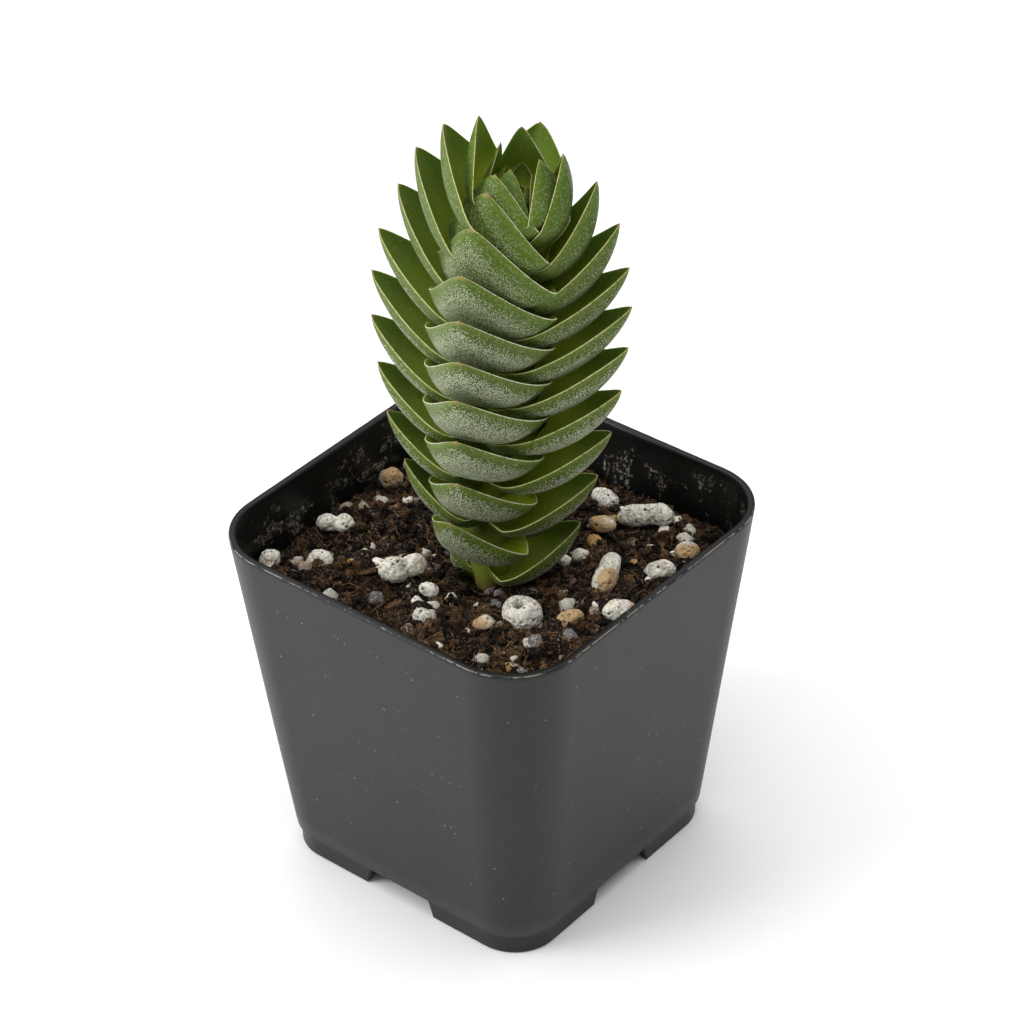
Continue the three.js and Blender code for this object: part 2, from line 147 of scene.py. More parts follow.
def colour(name, default, description):
    """A colour for a group of settings."""
    return FloatVectorProperty(name=name, default=default, size=4, min=0, max=1, subtype="COLOR",
                               description=description)


def amount(name, default, description, high=1.0):
    """A plain number for a group of settings."""
    return FloatProperty(name=name, default=default, min=0, max=high, description=description)


class CrassulaLeafSettings(bpy.types.PropertyGroup):
    """Sizes and colours of the leaves."""
    plump: length("Thickness", 1.15 * MM, "Thickness of a full-grown leaf over its keel")
    edge: length("Edge", 0.16 * MM, "Thickness of the rounded margin")
    wave: length("Wave", 0.14 * MM, "How far a margin wanders up and down")
    point: length("Point", 0.20 * MM, "Length of the small dry point at a leaf's tip")
    outer: colour("Outer Green", (0.081, 0.125, 0.010, 1), "Outer face between the frost")
    young: colour("Young Green", (0.076, 0.134, 0.008, 1), "Outer face of the leaves in the crown")
    inner: colour("Inner Green", (0.150, 0.235, 0.030, 1), "Smooth inner face")
    glow: colour("Base Yellow", (0.330, 0.420, 0.016, 1), "Inner face near the stem")
    frost: colour("Frost", (0.680, 0.715, 0.530, 1), "The tiny wax beads on the outer face")
    margin: colour("Margin", (0.710, 0.715, 0.500, 1), "Dry line along the edge of a front or back leaf")
    gold: colour("Golden Margin", (0.610, 0.590, 0.270, 1), "The same line on the other two ranks")
    tip: colour("Tip", (0.390, 0.265, 0.105, 1), "The dry point of a leaf")
    bead: length("Bead Spacing", 0.19 * MM, "Distance between the wax beads")
    stem: colour("Stem", (0.24, 0.29, 0.02, 1), "The stem between the leaves")
    stem_shade: colour("Stem Shade", (0.15, 0.21, 0.02, 1), "Darker patches of the stem")
    stem_foot: colour("Stem Foot", (0.16, 0.09, 0.03, 1), "Corky bottom of the stem")


class CrassulaPotSettings(bpy.types.PropertyGroup):
    """Finish of the pot."""
    plastic: colour("Plastic", (0.0182, 0.0190, 0.0213, 1), "Outside of the pot")
    # Inside is painted shade: the same plastic painted near black where shade falls inside the pot
    inside: colour("Inside", (0.0045, 0.0045, 0.0045, 1), "Inside of the pot above the soil")
    # This colour also paints the highlight along the lip's outer corner
    dust_and_highlight: colour("Dust", (0.380, 0.345, 0.275, 1), "Dust, nicks and dried splashes")
    warp: length("Warp", 0.10 * MM, "How far the thin wall stands off its true plane")
    nick: length("Nicks", 0.05 * MM, "Unevenness of the trimmed rim")


class CrassulaSoilSettings(bpy.types.PropertyGroup):
    """The potting mix."""
    # Dark Peat also paints the shade in the peat's dark blotches and on the soil bed
    dark: colour("Dark Peat", (0.0040, 0.0022, 0.0012, 1), "Moist peat")
    light: colour("Light Peat", (0.175, 0.095, 0.043, 1), "Drier peat")
    fibre: colour("Fibre", (0.330, 0.185, 0.082, 1), "Dry fibres and bark")
    fleck: colour("Flecks", (0.50, 0.37, 0.23, 1), "Pale flecks in the peat")
    sand: colour("Sand", (0.42, 0.35, 0.26, 1), "Fine sand on the peat")
    crumbs: IntProperty(name="Crumbs", default=3700, min=0, description="Peat crumbs on the surface")
    clods: IntProperty(name="Clods", default=150, min=0, description="Larger lumps of peat")
    flakes: IntProperty(name="Bark Flakes", default=500, min=0, description="Chips of bark")
    fibres: IntProperty(name="Fibres", default=1100, min=0, description="Loose peat fibres")
    strands: IntProperty(name="Strands", default=170, min=0, description="Thicker woody strands")
    grit: IntProperty(name="Grit", default=420, min=0, description="Small grains of pumice and sand")
    seed: IntProperty(name="Seed", default=7, min=0, description="Changes how everything lies")


class CrassulaStoneSettings(bpy.types.PropertyGroup):
    """The larger pumice stones."""
    pale: colour("Pale", (0.820, 0.780, 0.680, 1), "Clean pumice")
    grey: colour("Grey", (0.420, 0.385, 0.340, 1), "Dusty pumice")
    ochre: colour("Ochre", (0.440, 0.250, 0.075, 1), "Iron-stained pumice")
    # Pores is the colour of the dark pores, and also of the painted shade in the stones' hollows and deep
    # hole
    pore: colour("Pores", (0.032, 0.024, 0.017, 1), "Dirt in the pores")
    brown: colour("Brown Grit", (0.27, 0.20, 0.14, 1), "Brown grains")
    slate: colour("Slate Grit", (0.135, 0.120, 0.122, 1), "Dark grey grains")
    bark: colour("Bark Grit", (0.090, 0.048, 0.024, 1), "Grains of bark")
    rough: length("Roughness", 0.40 * MM, "Height of the lumps on a stone")
    pit: length("Pits", 0.28 * MM, "Depth of the larger pores")


class CrassulaStageSettings(bpy.types.PropertyGroup):
    """Floor and light."""
    floor: colour("Floor", (0.970, 0.970, 0.970, 1), "The pale floor")
    world: amount("Surround", 0.32, "Strength of the light from all round", 5)
    left: amount("Left Light", 6.8, "Power of the soft box on the left, in watts", 100)
    right: amount("Right Light", 0.6, "Power of the soft box on the right, in watts", 100)
    top: amount("Top Light", 13.8, "Power of the large soft box overhead, in watts", 100)


# Writing node trees

class Wire:
    """An output of a node that formulas can be written with."""

    def __init__(self, board, socket):
        self.board, self.socket = board, socket

    def __add__(self, other):
        return self.board.math("ADD", self, other)

    def __sub__(self, other):
        return self.board.math("SUBTRACT", self, other)

    def __rsub__(self, other):
        return self.board.math("SUBTRACT", other, self)

    def __mul__(self, other):
        return self.board.math("MULTIPLY", self, other)

    def __truediv__(self, other):
        return self.board.math("DIVIDE", self, other)

    def __pow__(self, other):
        return self.board.math("POWER", self, other)

    def __abs__(self):
        return self.board.math("ABSOLUTE", self)

    __radd__ = __add__
    __rmul__ = __mul__


class Board:
    """Writes a node tree: each call adds one node, plugs its inputs in and returns an output."""

    def __init__(self, tree):
        self.tree = tree

    def plug(self, value, socket):
        if isinstance(value, Wire):
            self.tree.links.new(value.socket, socket)
        elif value is not None:
            socket.default_value = value

    def add(self, kind, inputs=(), out=0, **settings):
        node = self.tree.nodes.new(kind)
        for name, value in settings.items():
            setattr(node, name, value)
        for key, value in dict(inputs).items():
            self.plug(value, node.inputs[key])
        return Wire(self, node.outputs[out])

    def math(self, operation, *values, clamp=False):
        return self.add("ShaderNodeMath", enumerate(values), operation=operation, use_clamp=clamp)

    def vector(self, operation, *values, out=0):
        return self.add("ShaderNodeVectorMath", enumerate(values), out=out, operation=operation)

    def scaled(self, vector, by):
        return self.add("ShaderNodeVectorMath", {0: vector, "Scale": by}, operation="SCALE")

    def joined(self, x, y, z):
        return self.add("ShaderNodeCombineXYZ", enumerate((x, y, z)))

    def parts(self, vector):
        first = self.add("ShaderNodeSeparateXYZ", {0: vector})
        return [Wire(self, socket) for socket in first.socket.node.outputs]

    def mix(self, share, a, b):
        return self.add("ShaderNodeMix", {0: share, 2: a, 3: b}, data_type="FLOAT")

    def tint(self, share, a, b, blend="MIX"):
        return self.add("ShaderNodeMix", {0: share, 6: a, 7: b}, out=2, data_type="RGBA", blend_type=blend)

    def ramp(self, value, low, high, to_low=0.0, to_high=1.0, smooth=True):
        return self.add("ShaderNodeMapRange", {0: value, 1: low, 2: high, 3: to_low, 4: to_high},
                        interpolation_type="SMOOTHSTEP" if smooth else "LINEAR")

    def noise(self, where, scale, detail=2.0, rough=0.5, shift=None, colour=False):
        inputs = {"Vector": where, "Scale": scale, "Detail": detail, "Roughness": rough}
        if shift is None:
            return self.add("ShaderNodeTexNoise", inputs, out=int(colour))
        inputs["W"] = shift
        return self.add("ShaderNodeTexNoise", inputs, out=int(colour), noise_dimensions="4D")

    def cells(self, where, scale, out=0):
        return self.add("ShaderNodeTexVoronoi", {"Vector": where, "Scale": scale}, out=out)


def new_tree(name, sockets, outputs=(("Geometry", "NodeSocketGeometry"),)):
    """A geometry node tree with named inputs: returns its board, its inputs and its output node."""
    tree = bpy.data.node_groups.new(name, "GeometryNodeTree")
    for socket_name, kind, default in sockets:
        socket = tree.interface.new_socket(socket_name, in_out="INPUT", socket_type=kind)
        if default is not None:
            socket.default_value = default
    for socket_name, kind in outputs:
        tree.interface.new_socket(socket_name, in_out="OUTPUT", socket_type=kind)
    board = Board(tree)
    source = tree.nodes.new("NodeGroupInput")
    given = {socket.name: Wire(board, socket) for socket in source.outputs if socket.name}
    return board, given, tree.nodes.new("NodeGroupOutput")


FLOAT, INT, VECTOR = "NodeSocketFloat", "NodeSocketInt", "NodeSocketVector"
GEOMETRY, MATERIAL = "NodeSocketGeometry", "NodeSocketMaterial"


def finish_tree(board, geometry, output, *finishes):
    """End a tree the way the export needs it: each finish is a material and the faces that it covers."""
    whole = board.add("GeometryNodeRealizeInstances", {0: geometry})
    for material, chosen in finishes:
        inputs = {"Geometry": whole, "Selection": chosen, "Material": material}
        whole = board.add("GeometryNodeSetMaterial", inputs)
    board.plug(whole, output.inputs[0])


def stored(board, geometry, name, value, domain="POINT", kind="FLOAT"):
    """The geometry with one more named attribute."""
    inputs = {"Geometry": geometry, "Name": name, "Value": value}
    return board.add("GeometryNodeStoreNamedAttribute", inputs, data_type=kind, domain=domain)


def named(board, name, kind="FLOAT"):
    """A named attribute, read in a geometry tree."""
    return board.add("GeometryNodeInputNamedAttribute", {"Name": name}, data_type=kind)


def run_tree(piece, tree, values):
    """Put a tree on a piece, set its inputs by their identifiers and keep the plain mesh that comes out."""
    modifier = piece.modifiers.new(tree.name, "NODES")
    modifier.node_group = tree
    for item in tree.interface.items_tree:
        if item.item_type == "SOCKET" and item.in_out == "INPUT" and item.name in values:
            modifier[item.identifier] = values[item.name]
    keep_evaluated(piece)


def keep_evaluated(piece):
    """Turn a piece and its modifiers into a plain mesh."""
    graph = bpy.context.evaluated_depsgraph_get()
    mesh = bpy.data.meshes.new_from_object(piece.evaluated_get(graph), preserve_all_data_layers=True,
                                           depsgraph=graph)
    old = piece.data
    piece.modifiers.clear()
    piece.data = mesh
    mesh.name = piece.name
    bpy.data.meshes.remove(old)


# Pieces

def new_piece(name, mesh):
    """An object at the origin that holds a mesh."""
    piece = bpy.data.objects.new(name, mesh)
    bpy.context.scene.collection.objects.link(piece)
    return piece


def settle(piece, slot, *nodes):
    """Fasten a finished piece to the part's body and hide the solids that it stands for."""
    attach(piece, BODY)
    if nodes:
        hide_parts(*nodes)


def shade(mesh, smooth=True):
    """Shade every face of a mesh smooth or flat."""
    mesh.polygons.foreach_set("use_smooth", [smooth] * len(mesh.polygons))


def mesh_from(name, points, faces):
    """A mesh with smooth faces from lists of points and faces."""
    mesh = bpy.data.meshes.new(name)
    mesh.from_pydata([tuple(point) for point in points], [], faces)
    shade(mesh)
    mesh.update()
    return mesh


def band(first, second, count, flip=False):
    """The faces between two closed rings of points, given by the numbers of their first points."""
    faces = []
    for j in range(count):
        k = (j + 1) % count
        a, b, c, d = first + j, first + k, second + k, second + j
        faces.append((a, d, c, b) if flip else (a, b, c, d))
    return faces


def store(mesh, name, values):
    """Keep one number for each point of a mesh."""
    layer = mesh.attributes.new(name, "FLOAT", "POINT")
    layer.data.foreach_set("value", np.asarray(values, np.float32))


def merged_copy(node):
    """A copy of a packed solid with its loose triangles joined."""
    shape = bmesh.new()
    shape.from_mesh(frame["nodes"][node].data)
    bmesh.ops.remove_doubles(shape, verts=shape.verts, dist=1e-6)
    mesh = bpy.data.meshes.new(node)
    shape.to_mesh(mesh)
    shape.free()
    shade(mesh)
    mesh.materials.clear()
    return mesh


# Materials

def new_material(name):
    """A material: returns it, the board to write it on and its shader node."""
    material = bpy.data.materials.new(name)
    material.use_nodes = True
    return material, Board(material.node_tree), material.node_tree.nodes["Principled BSDF"]


def attribute(board, name):
    """A number kept on the mesh."""
    return board.add("ShaderNodeAttribute", out=2, attribute_name=name)


def vector_attribute(board, name):
    """Three numbers kept on the mesh."""
    return board.add("ShaderNodeAttribute", out=1, attribute_name=name)


def place(board):
    """Where a spot lies in its object."""
    return board.add("ShaderNodeTexCoord", out=3)


def bump(board, height, distance, strength=1.0):
    """Small relief that is only shaded."""
    return board.add("ShaderNodeBump", {"Strength": strength, "Distance": distance, "Height": height})


def toned(rgba, *by):
    """A colour made darker or lighter by one share, or by a share for each of red, green and blue."""
    shares = by * 3 if len(by) == 1 else by
    return tuple(c * share for c, share in zip(rgba[:3], shares)) + (1,)


def leaf_material(settings, outside):
    """Waxy green leaf: beaded with frost outside, smooth and brighter inside and painted lighter towards the
    tip, with a thin dry margin.
    """
    material, board, shader = new_material("leaf outside" if outside else "leaf inside")
    where = place(board)
    rim, along, line = (attribute(board, name) for name in ("rim", "along", "line"))
    fresh, golden, _ = board.parts(vector_attribute(board, "kind"))
    patch = board.noise(where, 420, 3, 0.6)
    drift = board.noise(where, 130, 2, 0.5)
    fine = board.noise(where, 2600, 2, 0.6)

    if outside:
        # Wax beads, thickest low on the belly of the older leaves
        cell = board.cells(where, 1 / settings.bead)
        each = board.parts(board.cells(where, 1 / settings.bead, out=1))[0]
        thick = board.ramp(rim, 0.7 * MM, 3.8 * MM, smooth=False) * (1.15 - fresh * 0.7)
        thick = thick * board.ramp(along, 0.08, 0.5, 0.3, 1) + (patch - 0.5) * 0.6 + (drift - 0.5) * 0.5
        beads = board.ramp(cell, 0.58, 0.32) * board.ramp(each, thick * 1.35, thick * 1.35 - 0.25)
        beads = beads * (1 - fresh * 0.55)
        green = board.tint(board.ramp(patch, 0.3, 0.75), settings.outer, toned(settings.outer, 0.70))
        green = board.tint(fresh * 0.85, green, settings.young)
        near_rim = board.ramp(rim, 1.9 * MM, 0.2 * MM) * 0.6
        green = board.tint(near_rim, green, toned(settings.outer, 1.5, 1.5, 1.6))
        green = board.tint(board.ramp(thick, 0.3, 1.0) * 0.35, green, toned(settings.outer, 0.5))
        mottle = board.noise(where, 3400, 3, 0.7)
        green = board.tint(board.ramp(mottle, 0.52, 0.38) * 0.45, green, toned(settings.outer, 0.55))
        green = board.tint(board.ramp(fine, 0.5, 0.68) * 0.14, green, settings.frost)
        frosted = board.math("ADD", board.ramp(thick, 0.3, 1.1) * 0.05, beads * 0.85, clamp=True)
        body = board.tint(frosted, green, settings.frost)
        rough = 0.50 + beads * 0.3
        height = beads * 1.2 + fine * 0.4
    else:
        low = board.ramp(along, 0.80, 0.15) * board.ramp(patch, 0.1, 0.9, 0.6, 1.0)
        body = board.tint(low, settings.inner, settings.glow)
        # Painted light: the inner face is painted lighter towards the tip, where light reaches into the cup
        body = board.tint(board.ramp(along, 0.5, 1.0) * 0.5, body, toned(settings.outer, 1.2, 1.2, 1.3))
        body = board.tint(board.ramp(fine, 0.52, 0.72) * 0.14, body, settings.frost)
        rough = 0.46 + (patch - 0.5) * 0.15
        height = fine * 0.3 + patch * 0.3

    # Dry line on the margin, broken into beads, and the dry point on the tip
    edge = board.tint(golden, settings.margin, settings.gold)
    edge = board.tint(board.ramp(along + (patch - 0.5) * 0.1, 0.66, 0.94) * 0.75, edge, settings.tip)
    reach = board.math("MAXIMUM", line, board.ramp(rim, 0.09 * MM, 0.0, smooth=False))
    knots = board.noise(where, 2700, 1, 0.5)
    shown = board.ramp(reach + (knots - 0.5) * 1.9 + (patch - 0.5) * 0.6, 0.50, 0.84)
    shown = shown * board.ramp(along, 0.05, 0.14)
    body = board.tint(shown * 0.92, body, edge)
    near_tip = board.ramp(along + (patch - 0.5) * 0.05, 0.90, 0.99)
    body = board.tint(near_tip * 0.6, body, settings.tip)

    board.plug(body, shader.inputs["Base Color"])
    board.plug(rough, shader.inputs["Roughness"])
    shader.inputs["Subsurface Weight"].default_value = 0.12
    shader.inputs["Subsurface Radius"].default_value = (0.5, 1.0, 0.15)
    shader.inputs["Subsurface Scale"].default_value = 0.8 * MM
    shader.inputs["Specular IOR Level"].default_value = 0.22
    if outside:
        shader.inputs["Sheen Weight"].default_value = 0.10
        shader.inputs["Sheen Roughness"].default_value = 0.3
        shader.inputs["Sheen Tint"].default_value = (0.85, 0.92, 0.80, 1)
    board.plug(bump(board, height + shown * 0.8, 0.06 * MM, 0.8), shader.inputs["Normal"])
    return material


def stem_material(settings):
    """Yellow-green stem, brown and corky at the bottom."""
    material, board, shader = new_material("stem")
    where = place(board)
    grain = board.noise(where, 500, 4, 0.6)
    body = board.tint(grain, settings.stem, settings.stem_shade)
    low = board.ramp(board.parts(where)[2] + (grain - 0.5) * 5 * MM, 53.5 * MM, 49 * MM)
    board.plug(board.tint(low * 0.8, body, settings.stem_foot), shader.inputs["Base Color"])
    shader.inputs["Roughness"].default_value = 0.6
    board.plug(bump(board, grain, 0.2 * MM, 0.5), shader.inputs["Normal"])
    return material


def pot_material(settings):
    """Satin black plastic: a fine grain, a lip with pale nicks and a painted highlight, painted shade on the
    rim's top and inside, and dried splashes inside above the soil.
    """
    material, board, shader = new_material("pot plastic")
    where = place(board)
    inside, rim, lip = (attribute(board, name) for name in ("inside", "rim", "lip"))
    height = board.parts(where)[2]
    cloud = board.noise(where, 60, 4, 0.6)
    fine = board.noise(where, 1300, 3, 0.7)
    dark, bright = toned(settings.plastic, 0.80), toned(settings.plastic, 1.18)
    body = board.tint(board.ramp(fine, 0.35, 0.65), dark, bright)
    body = board.tint(board.ramp(cloud, 0.3, 0.7) * 0.25, body, toned(settings.plastic, 0.70))
    drawn = board.noise(board.vector("MULTIPLY", where, (1500, 1500, 260)), 1, 3, 0.7)
    body = board.tint(board.ramp(drawn, 0.38, 0.62), toned(settings.plastic, 0.86), body)
    # Painted shade: the rim's top is painted far darker than the same plastic, so that it does not look lit
    # from overhead
    body = board.tint(rim, body, toned(settings.plastic, 0.22))
    # Painted shade: the inside above the soil is painted near black
    body = board.tint(inside, body, settings.inside)

    # A few specks outside, and clusters of dried splashes in an uneven belt inside
    lucky = board.ramp(board.parts(board.cells(where, 900, out=1))[1], 0.88, 0.98)
    specks = board.ramp(board.cells(where, 900), 0.17, 0.06) * lucky
    uneven = (board.noise(where, 55, 2, 0.5) - 0.5) * 14 * MM
    belt = board.ramp(height + uneven, SOIL_LEVEL + 9 * MM, SOIL_LEVEL + 3 * MM)
    cluster = board.ramp(board.noise(where, 190, 4, 0.7), 0.45, 0.60) * belt
    splash = board.ramp(board.noise(where, 1500, 4, 0.75) + cluster * 0.16, 0.62, 0.72)
    dirt = splash * board.ramp(cluster, 0.02, 0.4) * inside * board.ramp(fine, 0.35, 0.6, 0.2, 1.0)
    body = board.tint(specks * 0.75, body, settings.dust_and_highlight)
    body = board.tint(dirt * 0.75, body, settings.dust_and_highlight)

    # Fine scratches: noise drawn out two ways
    scratch = None
    for turn in (0.5, -0.9):
        turned = board.add("ShaderNodeMapping",
                           {0: where, "Rotation": (turn, turn * 0.7, 0), "Scale": (90, 90, 3400)})
        line = board.ramp(board.noise(turned, 1, 1, 0.5), 0.72, 0.78)
        scratch = line if scratch is None else board.math("MAXIMUM", scratch, line)
    scratch = scratch * board.ramp(board.noise(where, 45, 2, 0.5), 0.5, 0.66)
    body = board.tint(scratch * 0.08, body, settings.dust_and_highlight)

    # The lip's outer corner is painted bright in short stretches: pale nicks with a painted highlight along
    # the edge
    nick_and_highlight = board.ramp(board.noise(where, 500, 4, 0.8) + (cloud - 0.5) * 0.4, 0.44, 0.56)
    nick_and_highlight = nick_and_highlight * board.ramp(lip, 0.35, 0.9)
    body = board.tint(nick_and_highlight * 0.65, body, settings.dust_and_highlight)
    board.plug(body, shader.inputs["Base Color"])
    rough = board.mix(inside, 0.44, 0.36) + (fine - 0.5) * 0.12 + (cloud - 0.5) * 0.08
    board.plug(rough + (specks + dirt) * 0.3, shader.inputs["Roughness"])
    shader.inputs["Specular IOR Level"].default_value = 0.30
    grain = fine * 0.6 + drawn * 0.5 + scratch * -0.5 + dirt * 1.2 + specks * 0.8 + nick_and_highlight * 1.5
    board.plug(bump(board, grain, 0.05 * MM, 0.8), shader.inputs["Normal"])
    return material


def peat_material(settings, name="peat", dry=0.0):
    """Dark crumbly peat, or its drier fibres and bark with a grain along each piece, all with painted shade
    in dark blotches.
    """
    material, board, shader = new_material(name)
    where = place(board)
    tint = attribute(board, "tint")
    clump = board.noise(where, 300, 5, 0.7)
    fine = board.noise(where, 1700, 4, 0.75)
    share = board.math("ADD", board.ramp(clump, 0.42, 0.75) * 0.35, (tint - 0.62) * 1.7 + dry, clamp=True)
    threads = board.ramp(fine, 0.52, 0.64) * board.ramp(share, 0, 0.6, 0.35, 0.9)
    body = board.tint(share, settings.dark, settings.light)
    body = board.tint(threads, body, settings.fibre)
    # Painted shade: dark blotches of the fine noise stand in for the deep shadow between crumbs
    body = board.tint(board.ramp(fine, 0.46, 0.36) * 0.9, body, settings.dark)
    flecks = board.ramp(board.noise(where, 2600, 2, 0.6), 0.60, 0.66) * board.ramp(clump, 0.42, 0.56)
    body = board.tint(flecks * 0.6, body, settings.fleck)
    height = fine + clump * 1.6
    if dry:
        grain = board.vector("MULTIPLY", vector_attribute(board, "local"), (0.5, 5, 5))
        grain = board.noise(grain, 1.3, 3, 0.65)
        body = board.tint(board.ramp(grain, 0.45, 0.62), body, settings.dark)
        ridges = board.ramp(grain, 0.45, 0.30) * board.ramp(tint, 0.3, 0.9)
        body = board.tint(ridges, body, toned(settings.fibre, 1.8, 1.6, 1.5))
        height = height + grain * -2.5
    sand = board.ramp(board.cells(where, 1700), 0.22, 0.08) * board.ramp(clump, 0.52, 0.62)
    body = board.tint(sand * 0.45, body, settings.sand)
    board.plug(body, shader.inputs["Base Color"])
    board.plug(board.ramp(fine, 0.3, 0.7, 0.95, 0.65), shader.inputs["Roughness"])
    shader.inputs["Specular IOR Level"].default_value = 0.2
    board.plug(bump(board, height, 0.35 * MM, 1.0), shader.inputs["Normal"])
    return material


def pumice_material(settings, name, stain):
    """Pale porous stone: dark pores, painted shade in the hollows and in the deep hole, with iron stains."""
    material, board, shader = new_material(name)
    where = place(board)
    tint = attribute(board, "tint")
    cloud = board.noise(where, 260, 4, 0.6)
    fine = board.noise(where, 1900, 3, 0.7)
    pores = board.ramp(board.cells(where, 2300), 0.34, 0.16) * board.ramp(cloud, 0.42, 0.56)
    holes = board.ramp(board.cells(where, 900), 0.24, 0.14) * board.ramp(fine, 0.42, 0.55)
    body = board.tint(board.ramp(fine, 0.36, 0.60), toned(settings.pale, 0.58), settings.pale)
    body = board.tint(board.ramp(cloud + (tint - 0.5) * 0.3, 0.50, 0.72) * 0.7, body, settings.grey)
    stained = board.ramp(board.noise(where, 170, 3, 0.6) + (tint - 0.5) * 0.3 + stain, 0.52, 0.64)
    patch = board.ramp(attribute(board, "stain") + (cloud - 0.5) * 1.2, 0.40, 0.62)
    stained = board.math("MAXIMUM", stained, patch) * board.ramp(fine, 0.2, 0.6, 0.5, 1.0)
    body = board.tint(stained * 0.85, body, settings.ochre)
    # Painted shade: the deep hole and the sunken hollows are painted the dark pore colour
    holes = board.math("MAXIMUM", holes, attribute(board, "hole"))
    body = board.tint(board.math("MAXIMUM", pores * 0.75, holes), body, settings.pore)
    board.plug(body, shader.inputs["Base Color"])
    shader.inputs["Roughness"].default_value = 0.88
    shader.inputs["Specular IOR Level"].default_value = 0.3
    height = fine * 0.8 - pores * 1.4 - holes * 2 + cloud
    board.plug(bump(board, height, 0.14 * MM, 0.9), shader.inputs["Normal"])
    return material


def grit_material(settings):
    """Small grains: each one white, cream, ochre, brown or speckled grey by its own number."""
    material, board, shader = new_material("grit")
    where = place(board)
    tint = attribute(board, "tint")
    fine = board.noise(where, 1500, 4, 0.75)
    body = settings.pale
    tones = ((0.28, toned(settings.pale, 0.62)), (0.46, settings.ochre), (0.60, settings.brown),
             (0.72, settings.slate), (0.90, settings.bark))
    for start, tone in tones:
        body = board.tint(board.ramp(tint, start, start + 0.02), body, tone)
    body = board.tint(board.ramp(fine, 0.52, 0.68) * 0.75, body, settings.pore)
    body = board.tint(board.ramp(board.noise(where, 2900, 2, 0.6), 0.56, 0.64) * 0.5, body, settings.pale)
    board.plug(body, shader.inputs["Base Color"])
    shader.inputs["Roughness"].default_value = 0.8
    shader.inputs["Specular IOR Level"].default_value = 0.35
    board.plug(bump(board, fine, 0.2 * MM, 1.0), shader.inputs["Normal"])
    return material


def floor_material(settings):
    """Plain pale floor."""
    material, board, shader = new_material("floor")
    board.plug(tuple(settings.floor), shader.inputs["Base Color"])
    shader.inputs["Roughness"].default_value = 0.9
    shader.inputs["Specular IOR Level"].default_value = 0.1
    return material


# Leaves

def smooth_table(rows):
    """A smooth curve through rows of numbers, read at a value of the first column."""
    rows = np.array(rows, float)

    def read(at):
        i = int(np.clip(np.searchsorted(rows[:, 0], at) - 1, 0, len(rows) - 2))
        before, start, end, after = (rows[min(max(j, 0), len(rows) - 1)] for j in (i - 1, i, i + 1, i + 2))
        span = end[0] - start[0]
        t = (at - start[0]) / span
        slope_in = (end[1:] - before[1:]) / (end[0] - before[0]) * span
        slope_out = (after[1:] - start[1:]) / (after[0] - start[0]) * span
        return ((2 * t**3 - 3 * t**2 + 1) * start[1:] + (t**3 - 2 * t**2 + t) * slope_in
                + (3 * t**2 - 2 * t**3) * end[1:] + (t**3 - t**2) * slope_out)

    return read


LEAF_TABLE = smooth_table(LEAF_ROWS)
RANK_TABLES = {rank: smooth_table(rows) for rank, rows in RANK_ROWS.items()}
DIP, DIP_END = 2.2, 7.5  # how far a margin sinks beside the opposite leaf, and the level where that ends


def leaf_values(level, rank):
    """The sizes of one leaf, in millimetres and degrees."""
    tip_z, tip_r, rise, corner_r, half, depth, drop = LEAF_TABLE(level)
    reach, lift, widen, turn = RANK_TABLES[rank](level)
    return {
        "Tip Radius": tip_r + reach, "Tip Height": tip_z + lift, "Corner Height": tip_z - rise + 0.5 * lift,
        "Half Width": half + widen, "Turn": turn, "Corner Radius": corner_r, "Cup": depth,
        "Root Height": tip_z - rise - drop, "Dip": DIP * min(max((DIP_END - level) / 2, 0), 1),
    }


def axis_at(z):
    """The middle of the stem at a height, all in millimetres."""
    over = min(max((z - STEM["bend_from"]) / STEM["bend_over"], 0), 1)
    up = z - SOIL_LEVEL / MM
    return [STEM["base"][i] + STEM["lean"][i] * up + STEM["bend"][i] * over for i in (0, 1)]


CORNER = 0.22  # share of a leaf's length where it starts to rise and stand out
NECK = 0.38  # share over which it widens from where it meets the opposite leaf
ROOT_SHARE = 0.6  # width where two opposite leaves meet
RISE_POWER, TAPER_POWER = 1.5, 0.69  # how late a margin rises, and how bluntly a leaf tapers
CUP_POWER, KEEL_POWER = 3.1, 2.6  # how square a leaf's hollow and its underside are
LINE_NAMES = ("Along", "Tip Radius", "Tip Height", "Corner Radius", "Corner Height", "Root Height",
              "Half Width", "Dip")
LINE_SOCKETS = [(name, FLOAT, 0.0) for name in LINE_NAMES]


def margin_tree():
    """Where the margins of a leaf run: radius, height and half width at a share of its length."""
    board, given, output = new_tree("Leaf margin", LINE_SOCKETS,
                                    [("Radius", FLOAT), ("Height", FLOAT), ("Half", FLOAT)])
    along = given["Along"]
    near = board.math("MINIMUM", along / CORNER, 1)
    left = board.math("MINIMUM", board.math("MAXIMUM", (1 - along) / (1 - CORNER), 0), 1)
    far = 1 - left ** RISE_POWER
    corner_r, corner_z, root_z = given["Corner Radius"], given["Corner Height"], given["Root Height"]
    radius = corner_r * near + (given["Tip Radius"] - corner_r) * far
    height = root_z + (corner_z - root_z) * near ** RISE_POWER
    height = height + (given["Tip Height"] - corner_z) * far ** RISE_POWER
    height = height - (1 - near ** RISE_POWER) * given["Dip"]
    widening = board.math("MINIMUM", along / NECK, 1)
    neck = board.mix((widening * (2 - widening)) ** 1.2, ROOT_SHARE, 1)
    half = given["Half Width"] * neck * board.math("MAXIMUM", 1 - far, 0.0005) ** TAPER_POWER
    for value, socket in zip((radius, height, half), output.inputs):
        board.plug(value, socket)
    return board.tree


def swelling(board, along):
    """How hollow and thick a leaf is along its length."""
    return board.math("SINE", board.mix(along, 0.3, 1) * math.pi) ** 1.3


